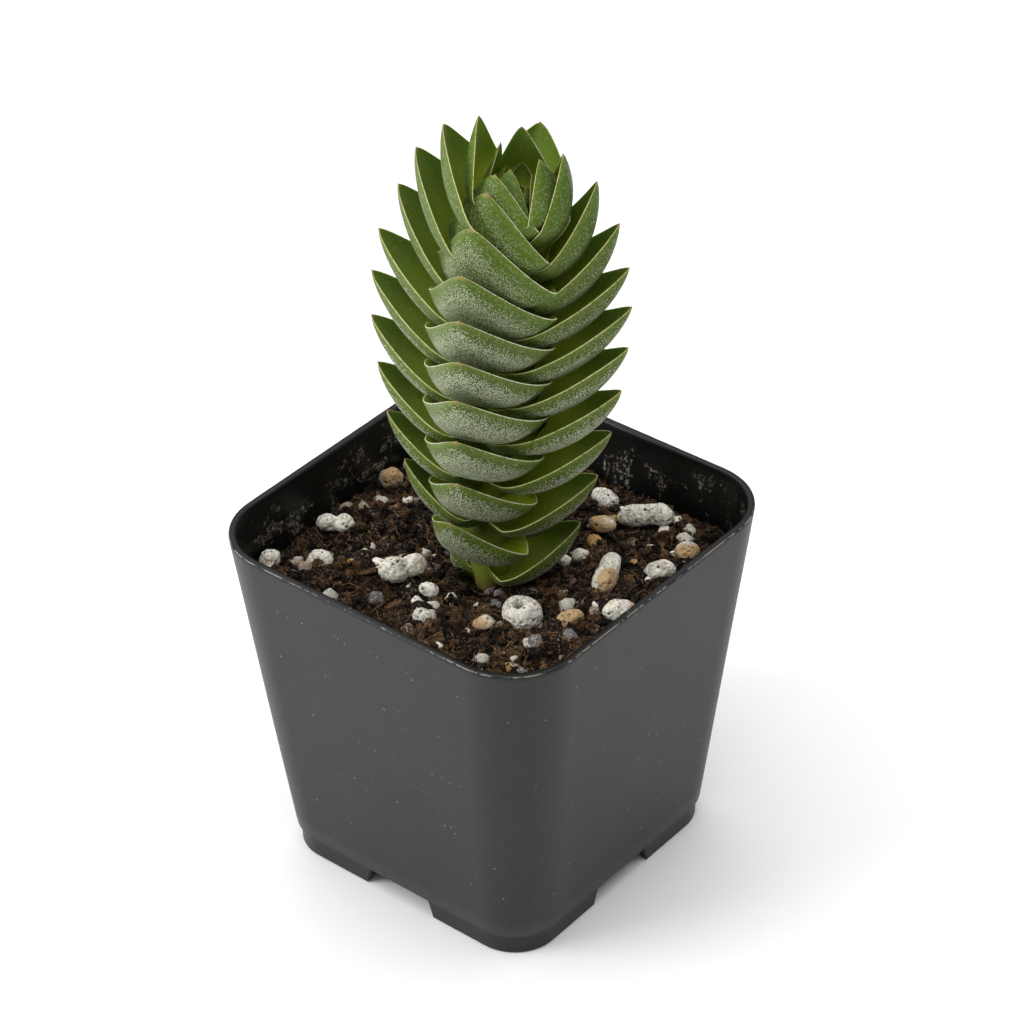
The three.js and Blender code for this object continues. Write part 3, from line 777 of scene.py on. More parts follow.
def sheet_tree(margin):
    """A point on the middle sheet of a leaf, and the leaf's half width there."""
    sockets = [*LINE_SOCKETS, ("Across", FLOAT, 0.0), ("Cup", FLOAT, 0.0)]
    board, given, output = new_tree("Leaf sheet", sockets, [("Point", VECTOR), ("Half", FLOAT)])

    def margin_at(along):
        first = board.add("GeometryNodeGroup", {}, node_tree=margin)
        for name in LINE_NAMES:
            board.plug(along if name == "Along" else given[name], first.socket.node.inputs[name])
        return [Wire(board, socket) for socket in first.socket.node.outputs]

    along, across, step = given["Along"], given["Across"], 0.02
    radius, height, half = margin_at(along)
    ahead = margin_at(board.math("MINIMUM", along + step, 1))
    behind = margin_at(board.math("MAXIMUM", along - step, 0))
    slope = board.vector("NORMALIZE", board.joined(ahead[1] - behind[1], 0, behind[0] - ahead[0]))
    hollow = given["Cup"] * swelling(board, along) * (1 - abs(across) ** CUP_POWER)
    line = board.joined(radius, across * half, height)
    board.plug(board.vector("ADD", line, board.scaled(slope, hollow)), output.inputs[0])
    board.plug(half, output.inputs[1])
    return board.tree


EACH_LEAF = ("Tip Radius", "Tip Height", "Corner Height", "Half Width", "Turn")
SHARED = ("Corner Radius", "Cup", "Root Height", "Dip")


def pair_tree(sheet):
    """Bends the flat pattern of a leaf pair into two opposite leaves, joined round the stem."""
    sockets = [("Geometry", GEOMETRY, None)]
    sockets += [(f"{side} {name}", FLOAT, 0.0) for side in ("First", "Second") for name in EACH_LEAF]
    sockets += [(name, FLOAT, 0.0) for name in SHARED]
    sockets += [("Azimuth", FLOAT, 0.0), ("Centre", VECTOR, (0, 0, 0)), ("Thickness", FLOAT, 0.0012),
                ("Edge", FLOAT, 0.0003), ("Wave", FLOAT, 0.0002), ("Point", FLOAT, 0.0004),
                ("Fresh", FLOAT, 0.0), ("Golden", FLOAT, 0.0), ("Seed", FLOAT, 0.0),
                ("Inside", MATERIAL, None), ("Outside", MATERIAL, None)]
    board, given, output = new_tree("Leaf pair", sockets)

    signed, across, fold, cap = (named(board, name) for name in ("signed", "across", "fold", "cap"))
    side = board.ramp(signed, -0.05, 0.05)
    values = {name: board.mix(side, given[f"Second {name}"], given[f"First {name}"]) for name in EACH_LEAF}
    values.update({name: given[name] for name in SHARED})
    turn = values.pop("Turn")

    def sheet_at(along, across):
        first = board.add("GeometryNodeGroup", {}, node_tree=sheet)
        for name, wire in {**values, "Along": along, "Across": across}.items():
            board.plug(wire, first.socket.node.inputs[name])
        return [Wire(board, socket) for socket in first.socket.node.outputs]

    # Towards the tip's point the pattern's rings shrink and move on
    shrink = board.math("MAXIMUM", 1 - cap ** 2, 0.0004) ** 0.5
    along, across = abs(signed), across * shrink
    step = 0.03
    middle, half = sheet_at(along, across)
    outwards = board.vector("SUBTRACT", sheet_at(board.math("MINIMUM", along + step, 1), across)[0],
                            sheet_at(board.math("MAXIMUM", along - step, 0), across)[0])
    sideways = board.vector("SUBTRACT", sheet_at(along, board.math("MINIMUM", across + step, 1))[0],
                            sheet_at(along, board.math("MAXIMUM", across - step, -1))[0])
    outwards, sideways = board.vector("NORMALIZE", outwards), board.vector("NORMALIZE", sideways)
    nx, ny, nz = board.parts(board.vector("CROSS_PRODUCT", sideways, outwards))
    down = board.vector("NORMALIZE", board.joined(nx * board.ramp(along, 0, 0.08), ny, nz))

    # Thickness under the sheet and a rounded margin
    size = board.math("MINIMUM", given["First Half Width"] / (9 * MM), 1)
    edge = given["Edge"] * size * shrink
    swell = swelling(board, along)
    full = given["Thickness"] * size * (1 - given["Fresh"] * 0.45)
    belly = board.math("MAXIMUM", full - edge, 0) * swell * (1 - abs(across) ** KEEL_POWER)
    sine, cosine = board.math("SINE", fold), board.math("COSINE", fold)
    wander = board.noise(middle, 95, 1, 0.4, shift=given["Seed"]) - 0.5
    wander = wander * given["Wave"] * 4 * size * abs(across) ** 3 * swell
    drop = sine * edge * 0.5 + board.math("MAXIMUM", sine, 0) * belly + wander
    out = cosine * edge * 0.5 * board.math("SIGN", across) - edge * 0.5 * across
    spot = board.vector("ADD", middle, board.scaled(down, drop))
    spot = board.vector("ADD", spot, board.scaled(sideways, out))
    spot = board.vector("ADD", spot, board.scaled(outwards, cap * given["Point"] * size))

    # Mirror the second leaf, turn the pair and stand it on the stem's middle line
    x, y, z = board.parts(spot)
    facing = board.ramp(signed, -0.0001, 0.0001, -1, 1, smooth=False)
    flat = board.joined(x * facing, y, z)
    turned = board.add("ShaderNodeVectorRotate", {"Vector": flat, "Angle": turn + given["Azimuth"]},
                       rotation_type="Z_AXIS")
    stood = board.vector("ADD", turned, given["Centre"])
    moved = board.add("GeometryNodeSetPosition", {"Geometry": given["Geometry"], "Position": stood})

    # For the finish: the way over the skin to the margin, the share of the length, the margin's own line,
    # and what sort of leaf it is
    bend = given["Cup"] * swell * 0.8
    over = half * abs(across) + bend * abs(across) ** CUP_POWER
    moved = stored(board, moved, "rim", half + bend - over)
    moved = stored(board, moved, "along", along + cap * 0.03)
    moved = stored(board, moved, "line", cosine ** 2)
    sort = board.joined(given["Fresh"], given["Golden"], 0)
    moved = stored(board, moved, "kind", sort, kind="FLOAT_VECTOR")
    outer = board.add("FunctionNodeCompare", {0: sine, 1: 0.0}, data_type="FLOAT", operation="GREATER_THAN")
    finish_tree(board, moved, output, (given["Inside"], True), (given["Outside"], outer))
    return board.tree


def pair_pattern(steps_along=36, steps_across=22, steps_edge=4):
    """The flat pattern of a leaf pair: a closed tube of rings, each point with its place on the leaves."""
    over = np.linspace(-1, 1, steps_across + 1)
    over = np.sign(over) * np.abs(over) ** 0.75
    turn = np.linspace(-0.5, 0.5, steps_edge + 1)[1:-1] * math.pi
    across = np.concatenate([over, np.ones(len(turn)), over[::-1], -np.ones(len(turn))])
    under = np.full(len(over), math.pi / 2)
    fold = np.concatenate([-under, turn, under, turn[::-1]])
    caps = [0.0, 0.35, 0.65, 0.88, 0.99]
    stations = [(-1, cap) for cap in caps[:0:-1]]
    stations += [(s, 0.0) for s in np.linspace(-1, 1, 2 * steps_along + 1)]
    stations += [(1, cap) for cap in caps[1:]]
    count = len(across)
    points, columns = [], {"signed": [], "across": [], "fold": [], "cap": []}
    for signed, cap in stations:
        for j in range(count):
            points.append((signed, across[j], 0.001 * math.sin(fold[j])))
            for name, value in zip(columns, (signed, across[j], fold[j], cap)):
                columns[name].append(value)
    faces = []
    for i in range(len(stations) - 1):
        faces += band(i * count, (i + 1) * count, count, flip=True)
    faces.append(tuple(range(count)))
    faces.append(tuple(reversed(range((len(stations) - 1) * count, len(stations) * count))))
    mesh = mesh_from("leaf pair", points, faces)
    for name, values in columns.items():
        store(mesh, name, values)
    return mesh


class CrassulaAddStem(bpy.types.Operator):
    """Add the stem that carries the leaves."""
    bl_idname = "crassula.add_stem"
    bl_label = "Add Stem"

    def execute(self, context):
        settings = context.scene.crassula_leaf
        low, high = STEM["low"], STEM["high"]
        foot = smooth_table(FOOT_ROWS)
        sides, rings = 24, 60
        points, faces = [], []
        for i in range(rings + 1):
            t = i / rings
            z = low + (high - low) * t
            shift_x, shift_y, foot_radius = foot(min(max(z, FOOT_ROWS[0][0]), FOOT_ROWS[-1][0]))
            x, y = axis_at(z)
            x, y = x + shift_x, y + shift_y
            # Thinner towards the tip, and faintly ringed above the foot
            taper = max(0, (t - STEM["taper_from"]) / (1 - STEM["taper_from"]))
            r = foot_radius + (STEM["tip_radius"] - STEM["radius"]) * taper
            r *= 1 + STEM["ring"] * math.sin(z * 2.6) * min(max((z - 57) / 3, 0), 1)
            points += [((x + r * math.cos(a)) * MM, (y + r * math.sin(a)) * MM, z * MM)
                       for a in (2 * math.pi * j / sides for j in range(sides))]
        for i in range(rings):
            faces += band(i * sides, (i + 1) * sides, sides)
        faces.append(tuple(reversed(range(sides))))
        faces.append(tuple(range(rings * sides, (rings + 1) * sides)))
        piece = new_piece("stem", mesh_from("stem", points, faces))
        piece.data.materials.append(stem_material(settings))
        settle(piece, "leaf", "leafy_stem")
        return {"FINISHED"}


class CrassulaAddLeaves(bpy.types.Operator):
    """Add every pair of leaves, from the growing tip down to the soil."""
    bl_idname = "crassula.add_leaves"
    bl_label = "Add Leaf Pairs"

    def execute(self, context):
        settings = context.scene.crassula_leaf
        inside, outside = (leaf_material(settings, side) for side in (False, True))
        tree = pair_tree(sheet_tree(margin_tree()))
        pattern = pair_pattern()
        levels = np.arange(FIRST_LEVEL, LAST_LEVEL + 0.25, 0.5)
        for count, level in enumerate(levels):
            whole = float(level).is_integer()
            ranks = ("right", "left") if whole else ("back", "front")
            first, second = (leaf_values(level, rank) for rank in ranks)
            values = {"Azimuth": math.radians(COLUMN_TURN + (0 if whole else 90)), "Inside": inside,
                      "Outside": outside, "Thickness": settings.plump, "Edge": settings.edge,
                      "Wave": settings.wave, "Point": settings.point, "Seed": float(count) * 3.7,
                      "Golden": 1.0 if whole else 0.0,
                      "Fresh": float(np.clip((FRESH_LEVEL - level) / FRESH_SPAN, 0, 1))}
            for side, leaf in (("First", first), ("Second", second)):
                for name in EACH_LEAF:
                    scale = math.pi / 180 if name == "Turn" else MM
                    values[f"{side} {name}"] = float(leaf[name] * scale)
            for name in SHARED:
                values[name] = float(first[name] * MM)
            x, y = axis_at(first["Root Height"])
            values["Centre"] = (x * MM, y * MM, 0.0)
            piece = new_piece(f"leaf_pair_{count + 1:02d}", pattern.copy())
            run_tree(piece, tree, values)
            settle(piece, "leaf", "leafy_stem")
        bpy.data.meshes.remove(pattern)
        return {"FINISHED"}


# Pot

def pot_section(z, inset=0.0):
    """Side and corner radius of the pot's rounded square at a height."""
    t = (z - POT["foot_line"]) / (POT["height"] - POT["foot_line"])
    side = POT["line_side"] + (POT["rim_side"] - POT["line_side"]) * t
    corner = POT["line_corner"] + (POT["rim_corner"] - POT["line_corner"]) * t
    return side - 2 * inset, corner - inset


def square_ring(side, corner, per_side=44, per_corner=16):
    """Points round a rounded square, with their outward directions."""
    inner = side / 2 - corner
    ring = []
    for quarter in range(4):
        a = quarter * math.pi / 2
        turn = Matrix.Rotation(a, 2)
        for i in range(per_side):
            ring.append((turn @ Vector((side / 2, inner * (2 * i / per_side - 1))), turn @ Vector((1, 0))))
        for i in range(per_corner):
            b = math.pi / 2 * i / per_corner
            way = Vector((math.cos(b), math.sin(b)))
            ring.append((turn @ (Vector((inner, inner)) + way * corner), turn @ way))
    return ring


def pot_mesh(settings):
    """One closed shell: foot, outside, rim, inside and floor, from a section carried round the pot."""
    line, top, wall = POT["foot_line"], POT["height"], POT["wall"]
    floor_top = line + POT["floor"]
    foot_in, foot_out = POT["foot_inset"] + wall, POT["foot_inset"]
    soft = 0.25 * MM
    # height, inset from the outside, height whose outline it follows, inside, on the rim
    section = [(line, foot_in + 8 * MM, line, 0, 0), (line, foot_in, line, 0, 0),
               (soft, foot_in, line, 0, 0), (0, foot_in - soft, line, 0, 0),
               (0, foot_out + soft, line, 0, 0), (soft, foot_out, line, 0, 0),
               (line - 0.1 * MM, foot_out, line, 0, 0), (line, 0.12 * MM, line, 0, 0),
               (line + 0.15 * MM, 0, line, 0, 0)]
    section += [(line + (top - line) * t, 0, None, 0, 0) for t in (0.06, 0.2, 0.35, 0.5, 0.65, 0.8, 0.92)]
    rim = 0.34 * MM
    section += [(top - 0.9 * MM, 0, None, 0, 0), (top - rim, 0, None, 0, 0.5),
                (top - 0.1 * MM, 0.1 * MM, None, 0, 1), (top, rim, None, 0, 1),
                (top, wall - rim, None, 0, 1), (top - 0.1 * MM, wall - 0.1 * MM, None, 0.5, 1),
                (top - rim, wall, None, 1, 0.5), (top - 1.2 * MM, wall, None, 1, 0)]
    section += [(floor_top + (top - floor_top) * t, wall, None, 1, 0) for t in (0.9, 0.8, 0.6, 0.3)]
    section += [(floor_top + 1 * MM, wall, None, 1, 0), (floor_top, wall + 1 * MM, None, 1, 0),
                (floor_top, wall + 8 * MM, None, 1, 0)]
    points, faces, inside, rim_shading, lips = [], [], [], [], []
    for z, inset, follow, is_inside, on_rim in section:
        side, corner = pot_section(z if follow is None else follow, inset)
        for spot, way in square_ring(side, max(corner, 0.4 * MM)):
            out = Vector((way.x, way.y, 0))
            here = Vector((spot.x, spot.y, z))
            share = max(0.0, (z - line) / (top - line))
            bulge = noise.noise(here * 28) * settings.warp * share * (1 - share) * 4
            ragged = noise.noise(here * 700) + 0.6 * noise.noise(here * 1900)
            dent = -abs(ragged) * settings.nick * on_rim
            here += out * (bulge - (0.02 * MM if is_inside else 0))
            here.z += dent
            points.append(here)
            inside.append(is_inside)
            rim_shading.append(on_rim)
            lips.append(1.0 if on_rim == 1 and inset < wall / 4 else 0.0)
    count = len(square_ring(1, 0.1))
    for i in range(len(section) - 1):
        faces += band(i * count, (i + 1) * count, count)
    faces.append(tuple(reversed(range(count))))
    faces.append(tuple(range((len(section) - 1) * count, len(section) * count)))
    mesh = mesh_from("pot", points, faces)
    store(mesh, "inside", inside)
    # Where the rim's top gets its painted shade in the finish
    store(mesh, "rim", rim_shading)
    store(mesh, "lip", lips)
    return mesh


def pot_cutters():
    """One mesh of the foot's four notches and the five drain holes."""
    shape = bmesh.new()
    line, reach = POT["foot_line"], POT["line_side"] / 2
    for quarter in range(4):
        turn = Matrix.Rotation(quarter * math.pi / 2, 4, "Z")
        made = bmesh.ops.create_cube(shape, size=1)["verts"]
        for vert in made:
            low = vert.co.z < 0
            vert.co.x *= POT["notch"] + (0 if low else -2 * POT["notch_slope"])
            vert.co.y = reach + vert.co.y * POT["notch_depth"]
            vert.co.z = -1 * MM if low else line - 0.02 * MM
            vert.co = turn @ vert.co
    for x, y in ((0, 0), (1, 1), (1, -1), (-1, 1), (-1, -1)):
        made = bmesh.ops.create_cone(shape, cap_ends=True, segments=40, radius1=POT["drain_radius"],
                                     radius2=POT["drain_radius"], depth=6 * MM)["verts"]
        for vert in made:
            vert.co += Vector((x * POT["drain_place"], y * POT["drain_place"], line + 0.5 * MM))
    mesh = bpy.data.meshes.new("cutters")
    shape.to_mesh(mesh)
    shape.free()
    return mesh


class CrassulaAddPot(bpy.types.Operator):
    """Add the square nursery pot."""
    bl_idname = "crassula.add_pot"
    bl_label = "Add Pot"

    def execute(self, context):
        settings = context.scene.crassula_pot
        piece = new_piece("pot_shell", pot_mesh(settings))
        piece.data.materials.append(pot_material(settings))
        cutter = new_piece("cutter", pot_cutters())
        cut = piece.modifiers.new("openings", "BOOLEAN")
        cut.operation, cut.solver, cut.object = "DIFFERENCE", "EXACT", cutter
        keep_evaluated(piece)
        bpy.data.objects.remove(cutter)
        settle(piece, "pot", "pot")
        return {"FINISHED"}


# Soil

def square_reach(angle, half, corner):
    """Distance from the middle of a rounded square to its outline."""
    c, s = abs(math.cos(angle)), abs(math.sin(angle))
    reach = half / max(c, s)
    inner = half - corner
    if reach * min(c, s) <= inner:
        return reach
    along = inner * (c + s)
    return along + math.sqrt(along**2 - 2 * inner**2 + corner**2)


def under_stone(x, y):
    """Whether a spot of the surface is covered by a stone."""
    for low, high in STONE_BOXES:
        across = (x * 2 - low.x - high.x) / (high.x - low.x)
        deep = (y * 2 - low.y - high.y) / (high.y - low.y)
        if across**2 + deep**2 < 0.8:
            return True
    return False


def crumbled(x, y):
    """Height of the broken surface at a spot, in millimetres: clods and crumbs with creases between them."""
    where = Vector((x, y, 0))
    bent = where + Vector((noise.noise(where * 0.8), noise.noise(where * 0.8 + Vector((9, 0, 0))), 0)) * 0.6
    clods = noise.fractal(where * 0.28, 1.0, 2.0, 3) * 0.5
    for scale, height in ((0.55, 0.8), (1.25, 0.5)):
        first, second = noise.voronoi(bent * scale)[0][:2]
        clods += height * (min((second - first) * 1.6, 1) ** 0.5 - 0.75)
    return clods + 0.4 * (noise.turbulence(where * 1.6, 3, True) - 0.5)


def soil_mesh(rings=112, spokes=360):
    """The soil's finely broken surface over a plain body."""
    tree = BVHTree.FromPolygons([v.co for v in frame["nodes"]["soil"].data.vertices],
                                [p.vertices for p in frame["nodes"]["soil"].data.polygons])
    side, corner = pot_section(SOIL_LEVEL, POT["wall"] + SOIL_GAP)
    low_side, low_corner = pot_section(SOIL_BOTTOM, POT["wall"] + SOIL_FOOT_GAP)
    points, opened = [], []
    for i in range(rings + 1):
        for j in range(spokes):
            a = 2 * math.pi * j / spokes
            edge = square_reach(a, side / 2, corner)
            r = edge * (i / rings) ** 0.85
            x, y = r * math.cos(a), r * math.sin(a)
            # The solid's own bumps, read from above, with the stem's hole closed
            hit = tree.ray_cast(Vector((x * 0.985, y * 0.985, 80 * MM)), Vector((0, 0, -1)))[0]
            z = hit.z if hit and hit.z > SOIL_LEVEL - 4 * MM else SOIL_LEVEL
            points.append((x, y, z + crumbled(x / MM, y / MM) * MM))
            free = edge - r > BARE_EDGE and r > BARE_MIDDLE and not under_stone(x, y)
            opened.append(1.0 if free else 0.0)
            if i == 0:
                break
    count = len(points)
    for j in range(spokes):
        a = 2 * math.pi * j / spokes
        edge = square_reach(a, low_side / 2, low_corner)
        points.append((edge * math.cos(a), edge * math.sin(a), SOIL_BOTTOM))
        opened.append(0.0)
    points.append((0, 0, SOIL_BOTTOM))
    opened.append(0.0)
    faces = [(0, 1 + j, 1 + (j + 1) % spokes) for j in range(spokes)]
    for i in range(1, rings + 1):
        faces += band(1 + (i - 1) * spokes, 1 + i * spokes, spokes, flip=True)
    faces += [(count + (j + 1) % spokes, count + j, count + spokes) for j in range(spokes)]
    mesh = mesh_from("soil", points, faces)
    store(mesh, "open", opened)
    # Painted shade: a low tint paints the bed darker than the crumbs on it, for the shadow in the gaps
    # between them
    store(mesh, "tint", [0.35] * len(points))
    return mesh


def scatter(board, given):
    """Points over the open part of a surface, and a maker of random numbers for each of them."""
    chosen = board.add("FunctionNodeCompare", {0: named(board, "open"), 1: 0.9}, data_type="FLOAT",
                       operation="GREATER_THAN")
    points = board.add("GeometryNodeDistributePointsOnFaces",
                       {"Mesh": given["Geometry"], "Selection": chosen, "Density": given["Density"],
                        "Seed": given["Seed"]})

    def chance(low, high, shift):
        inputs = {2: low, 3: high, "Seed": given["Seed"] + shift}
        return board.add("FunctionNodeRandomValue", inputs, out=1, data_type="FLOAT")

    return points, chance


def lumps_tree(name, cuts, roundness):
    """Scatters lumps over a surface: small blocks, more or less rounded, each one broken in its own way."""
    board, given, output = new_tree(name, [
        ("Geometry", GEOMETRY, None), ("Density", FLOAT, 1000.0), ("Smallest", FLOAT, 0.0005),
        ("Largest", FLOAT, 0.002), ("Stretch", VECTOR, (1, 1, 1)), ("Lumpiness", FLOAT, 0.5),
        ("Sink", FLOAT, 0.3), ("Tilt", FLOAT, 3.1416), ("Seed", INT, 0), ("Material", MATERIAL, None)])
    points, chance = scatter(board, given)
    block = board.add("GeometryNodeMeshCube",
                      {"Size": (2, 2, 2), **{f"Vertices {way}": cut for way, cut in zip("XYZ", cuts)}})
    where = board.add("GeometryNodeInputPosition")
    ball = board.scaled(board.vector("NORMALIZE", where), 1.15)
    flat = board.scaled(where, 0.85)
    eased = board.vector("ADD", board.scaled(ball, roundness), board.scaled(flat, 1 - roundness))
    shape = board.add("GeometryNodeSetPosition", {"Geometry": block, "Position": eased})
    shape = stored(board, shape, "local", where, kind="FLOAT_VECTOR")

    # Each lump gets its own size, squash and turn
    size = board.mix(chance(0.0, 1.0, 1) ** 2.4, given["Smallest"], given["Largest"])
    squash = board.joined(chance(0.7, 1.3, 2), chance(0.7, 1.3, 3), chance(0.7, 1.2, 4))
    scale = board.scaled(board.vector("MULTIPLY", squash, given["Stretch"]), size * 0.5)
    tilt = given["Tilt"]
    euler = board.joined(tilt * chance(-1.0, 1.0, 5), tilt * chance(-1.0, 1.0, 6), chance(0.0, 6.283, 7))
    turned = board.add("FunctionNodeEulerToRotation", {0: euler})
    placed = board.add("GeometryNodeInstanceOnPoints",
                       {"Points": points, "Instance": shape, "Rotation": turned, "Scale": scale})
    placed = stored(board, placed, "tint", chance(0.0, 1.0, 8), "INSTANCE")
    placed = stored(board, placed, "size", size, "INSTANCE")

    # Once it is real, noise of its own knocks it out of shape, and it sinks in
    real = board.add("GeometryNodeRealizeInstances", {0: placed})
    normal = board.add("GeometryNodeInputNormal")
    local = named(board, "local", "FLOAT_VECTOR")
    rough = board.noise(local, 1.15, 3, 0.6, shift=named(board, "tint") * 47) - 0.5
    each = named(board, "size")
    shift = board.scaled(normal, rough * given["Lumpiness"] * each)
    shift = board.vector("SUBTRACT", shift, board.joined(0, 0, given["Sink"] * each))
    moved = board.add("GeometryNodeSetPosition", {"Geometry": real, "Offset": shift})
    finish_tree(board, moved, output, (given["Material"], True))
    return board.tree


def fibres_tree():
    """Scatters thin bent fibres that follow the surface more or less closely."""
    board, given, output = new_tree("Scattered fibres", [
        ("Geometry", GEOMETRY, None), ("Density", FLOAT, 1000.0), ("Shortest", FLOAT, 0.002),
        ("Longest", FLOAT, 0.008), ("Radius", FLOAT, 0.00008), ("Bend", FLOAT, 0.003),
        ("Lift", FLOAT, 0.0002), ("Hug", FLOAT, 0.75), ("Seed", INT, 0), ("Material", MATERIAL, None)])
    points, chance = scatter(board, given)
    line = board.add("GeometryNodeCurvePrimitiveLine", {"Start": (-0.5, 0, 0), "End": (0.5, 0, 0)})
    line = board.add("GeometryNodeResampleCurve", {"Curve": line, "Count": 11})
    where = board.add("GeometryNodeInputPosition")
    line = stored(board, line, "local", board.vector("MULTIPLY", where, (4, 4, 4)), kind="FLOAT_VECTOR")
    reach = board.mix(chance(0.0, 1.0, 1) ** 1.6, given["Shortest"], given["Longest"])
    euler = board.joined(0, chance(-0.4, 0.4, 2), chance(0.0, 6.283, 3))
    turned = board.add("FunctionNodeEulerToRotation", {0: euler})
    placed = board.add("GeometryNodeInstanceOnPoints",
                       {"Points": points, "Instance": line, "Rotation": turned, "Scale": reach})
    placed = stored(board, placed, "tint", chance(0.0, 1.0, 4), "INSTANCE")
    placed = stored(board, placed, "lift", chance(-0.2, 1.0, 5), "INSTANCE")

    # Bend each line sideways, lay it on the surface below, and drop what lies beside the soil
    real = board.add("GeometryNodeRealizeInstances", {0: placed})
    drift = board.vector("SUBTRACT", board.noise(where, 210, 2, 0.55, colour=True), (0.5, 0.5, 0.5))
    drift = board.vector("MULTIPLY", board.scaled(drift, given["Bend"]), (1, 1, 0.3))
    moved = board.add("GeometryNodeSetPosition", {"Geometry": real, "Offset": drift})
    x, y, z = board.parts(where)
    above = board.joined(x, y, z + 0.02)
    lands = board.add("GeometryNodeRaycast",
                      {"Target Geometry": given["Geometry"], "Source Position": above,
                       "Ray Direction": (0, 0, -1), "Ray Length": 0.06})
    beside = board.add("FunctionNodeBooleanMath", {0: lands}, operation="NOT")
    moved = board.add("GeometryNodeDeleteGeometry", {0: moved, "Selection": beside}, domain="POINT")
    spot = Wire(board, lands.socket.node.outputs["Hit Position"])
    ground = board.parts(spot)[2] + named(board, "lift") * given["Lift"]
    settled = board.joined(x, y, board.mix(given["Hug"], z, ground))
    moved = board.add("GeometryNodeSetPosition", {"Geometry": moved, "Position": settled})
    ring = board.add("GeometryNodeCurvePrimitiveCircle", {"Resolution": 4, "Radius": given["Radius"]})
    tube = board.add("GeometryNodeCurveToMesh", {"Curve": moved, "Profile Curve": ring, "Fill Caps": True})
    finish_tree(board, tube, output, (given["Material"], True))
    return board.tree


OPEN_AREA = 0.0029  # square metres of soil that things are strewn on


class CrassulaAddSoil(bpy.types.Operator):
    """Add the potting mix: its broken surface, crumbs, clods, bark, fibres and grit."""
    bl_idname = "crassula.add_soil"
    bl_label = "Add Soil"

    def execute(self, context):
        settings, stones = context.scene.crassula_soil, context.scene.crassula_stone
        peat, crumb = peat_material(settings), peat_material(settings, "peat crumbs", 0.3)
        bark, fibre = peat_material(settings, "bark", 0.5), peat_material(settings, "fibre", 0.65)
        grit = grit_material(stones)
        surface = soil_mesh()
        piece = new_piece("soil_bed", surface.copy())
        piece.data.materials.append(peat)
        settle(piece, "soil", "soil")
        crumbs, clods = lumps_tree("Crumbs", (3, 3, 2), 0.3), lumps_tree("Clods", (4, 4, 4), 0.6)
        chips, fibres = lumps_tree("Chips", (6, 4, 2), 0.1), fibres_tree()
        strewn = [
            ("soil_crumbs", crumbs, settings.crumbs, "soil", {
                "Smallest": 0.5 * MM, "Largest": 2.3 * MM, "Stretch": (1.5, 0.75, 0.6), "Lumpiness": 1.0,
                "Sink": 0.0, "Material": crumb}),
            ("soil_clods", clods, settings.clods, "soil", {
                "Smallest": 1.8 * MM, "Largest": 4.0 * MM, "Lumpiness": 1.0, "Sink": 0.15,
                "Material": peat}),
            ("bark_flakes", chips, settings.flakes, "soil", {
                "Smallest": 1.4 * MM, "Largest": 5.0 * MM, "Stretch": (1.0, 0.42, 0.16), "Lumpiness": 0.22,
                "Tilt": 0.6, "Sink": -0.06, "Material": bark}),
            ("grit", clods, settings.grit, "pumice", {
                "Smallest": 0.4 * MM, "Largest": 2.3 * MM, "Lumpiness": 0.7, "Sink": -0.08,
                "Material": grit}),
            ("peat_fibres", fibres, settings.fibres, "soil", {
                "Shortest": 1.5 * MM, "Longest": 8.5 * MM, "Radius": 0.09 * MM, "Bend": 6.0 * MM,
                "Lift": 1.2 * MM, "Hug": 0.8, "Material": fibre}),
            ("bark_strands", fibres, settings.strands, "soil", {
                "Shortest": 2.0 * MM, "Longest": 6.0 * MM, "Radius": 0.16 * MM, "Bend": 1.5 * MM,
                "Lift": 0.9 * MM, "Hug": 0.6, "Material": bark}),
        ]
        for shift, (name, tree, count, slot, values) in enumerate(strewn):
            piece = new_piece(name, surface.copy())
            values.update({"Density": count / OPEN_AREA, "Seed": settings.seed + 31 * shift})
            run_tree(piece, tree, values)
            shade(piece.data, tree not in (chips, crumbs))
            settle(piece, slot)
        bpy.data.meshes.remove(surface)
        return {"FINISHED"}


# Pumice stones

def stone_tree():
    """Breaks a stone's plain shape up into knobs, hollows and pores."""
    board, given, output = new_tree("Pumice stone", [
        ("Geometry", GEOMETRY, None), ("Roughness", FLOAT, 0.0003), ("Pits", FLOAT, 0.0002),
        ("Hole", VECTOR, (0, 0, 0)), ("Hole Radius", FLOAT, 0.0), ("Stain", VECTOR, (0, 0, 0)),
        ("Stain Radius", FLOAT, 0.0), ("Tint", FLOAT, 0.5), ("Seed", FLOAT, 0.0),
        ("Material", MATERIAL, None)])
    fine = board.add("GeometryNodeSubdivisionSurface", {0: given["Geometry"], "Level": 3})
    where = board.add("GeometryNodeInputPosition")
    normal = board.add("GeometryNodeInputNormal")
    lumps = board.noise(where, 340, 5, 0.62, shift=given["Seed"]) - 0.5
    knobs = 0.4 - board.cells(where, 420)
    pores = board.ramp(board.cells(where, 900), 0.34, 0.12)
    height = (lumps * 3.6 + knobs * 0.8) * given["Roughness"] - pores * given["Pits"] + 0.15 * MM

    def near(name, from_share, to_share):
        away = board.vector("DISTANCE", where, given[name], out=1)
        return board.ramp(away, given[f"{name} Radius"] * from_share, given[f"{name} Radius"] * to_share)

    deep = near("Hole", 1.15, 0.7)
    height = height - deep * given["Hole Radius"] * 1.7
    # Painted shade: the sunken hollows and the deep hole are kept to be painted dark in the finish
    hollows = board.ramp(lumps, -0.06, -0.22) * 0.45
    for name, value in (("tint", given["Tint"]), ("hole", board.math("MAXIMUM", deep, hollows)),
                        ("stain", near("Stain", 1.4, 0.5))):
        fine = stored(board, fine, name, value)
    moved = board.add("GeometryNodeSetPosition", {"Geometry": fine, "Offset": board.scaled(normal, height)})
    finish_tree(board, moved, output, (given["Material"], True))
    return board.tree


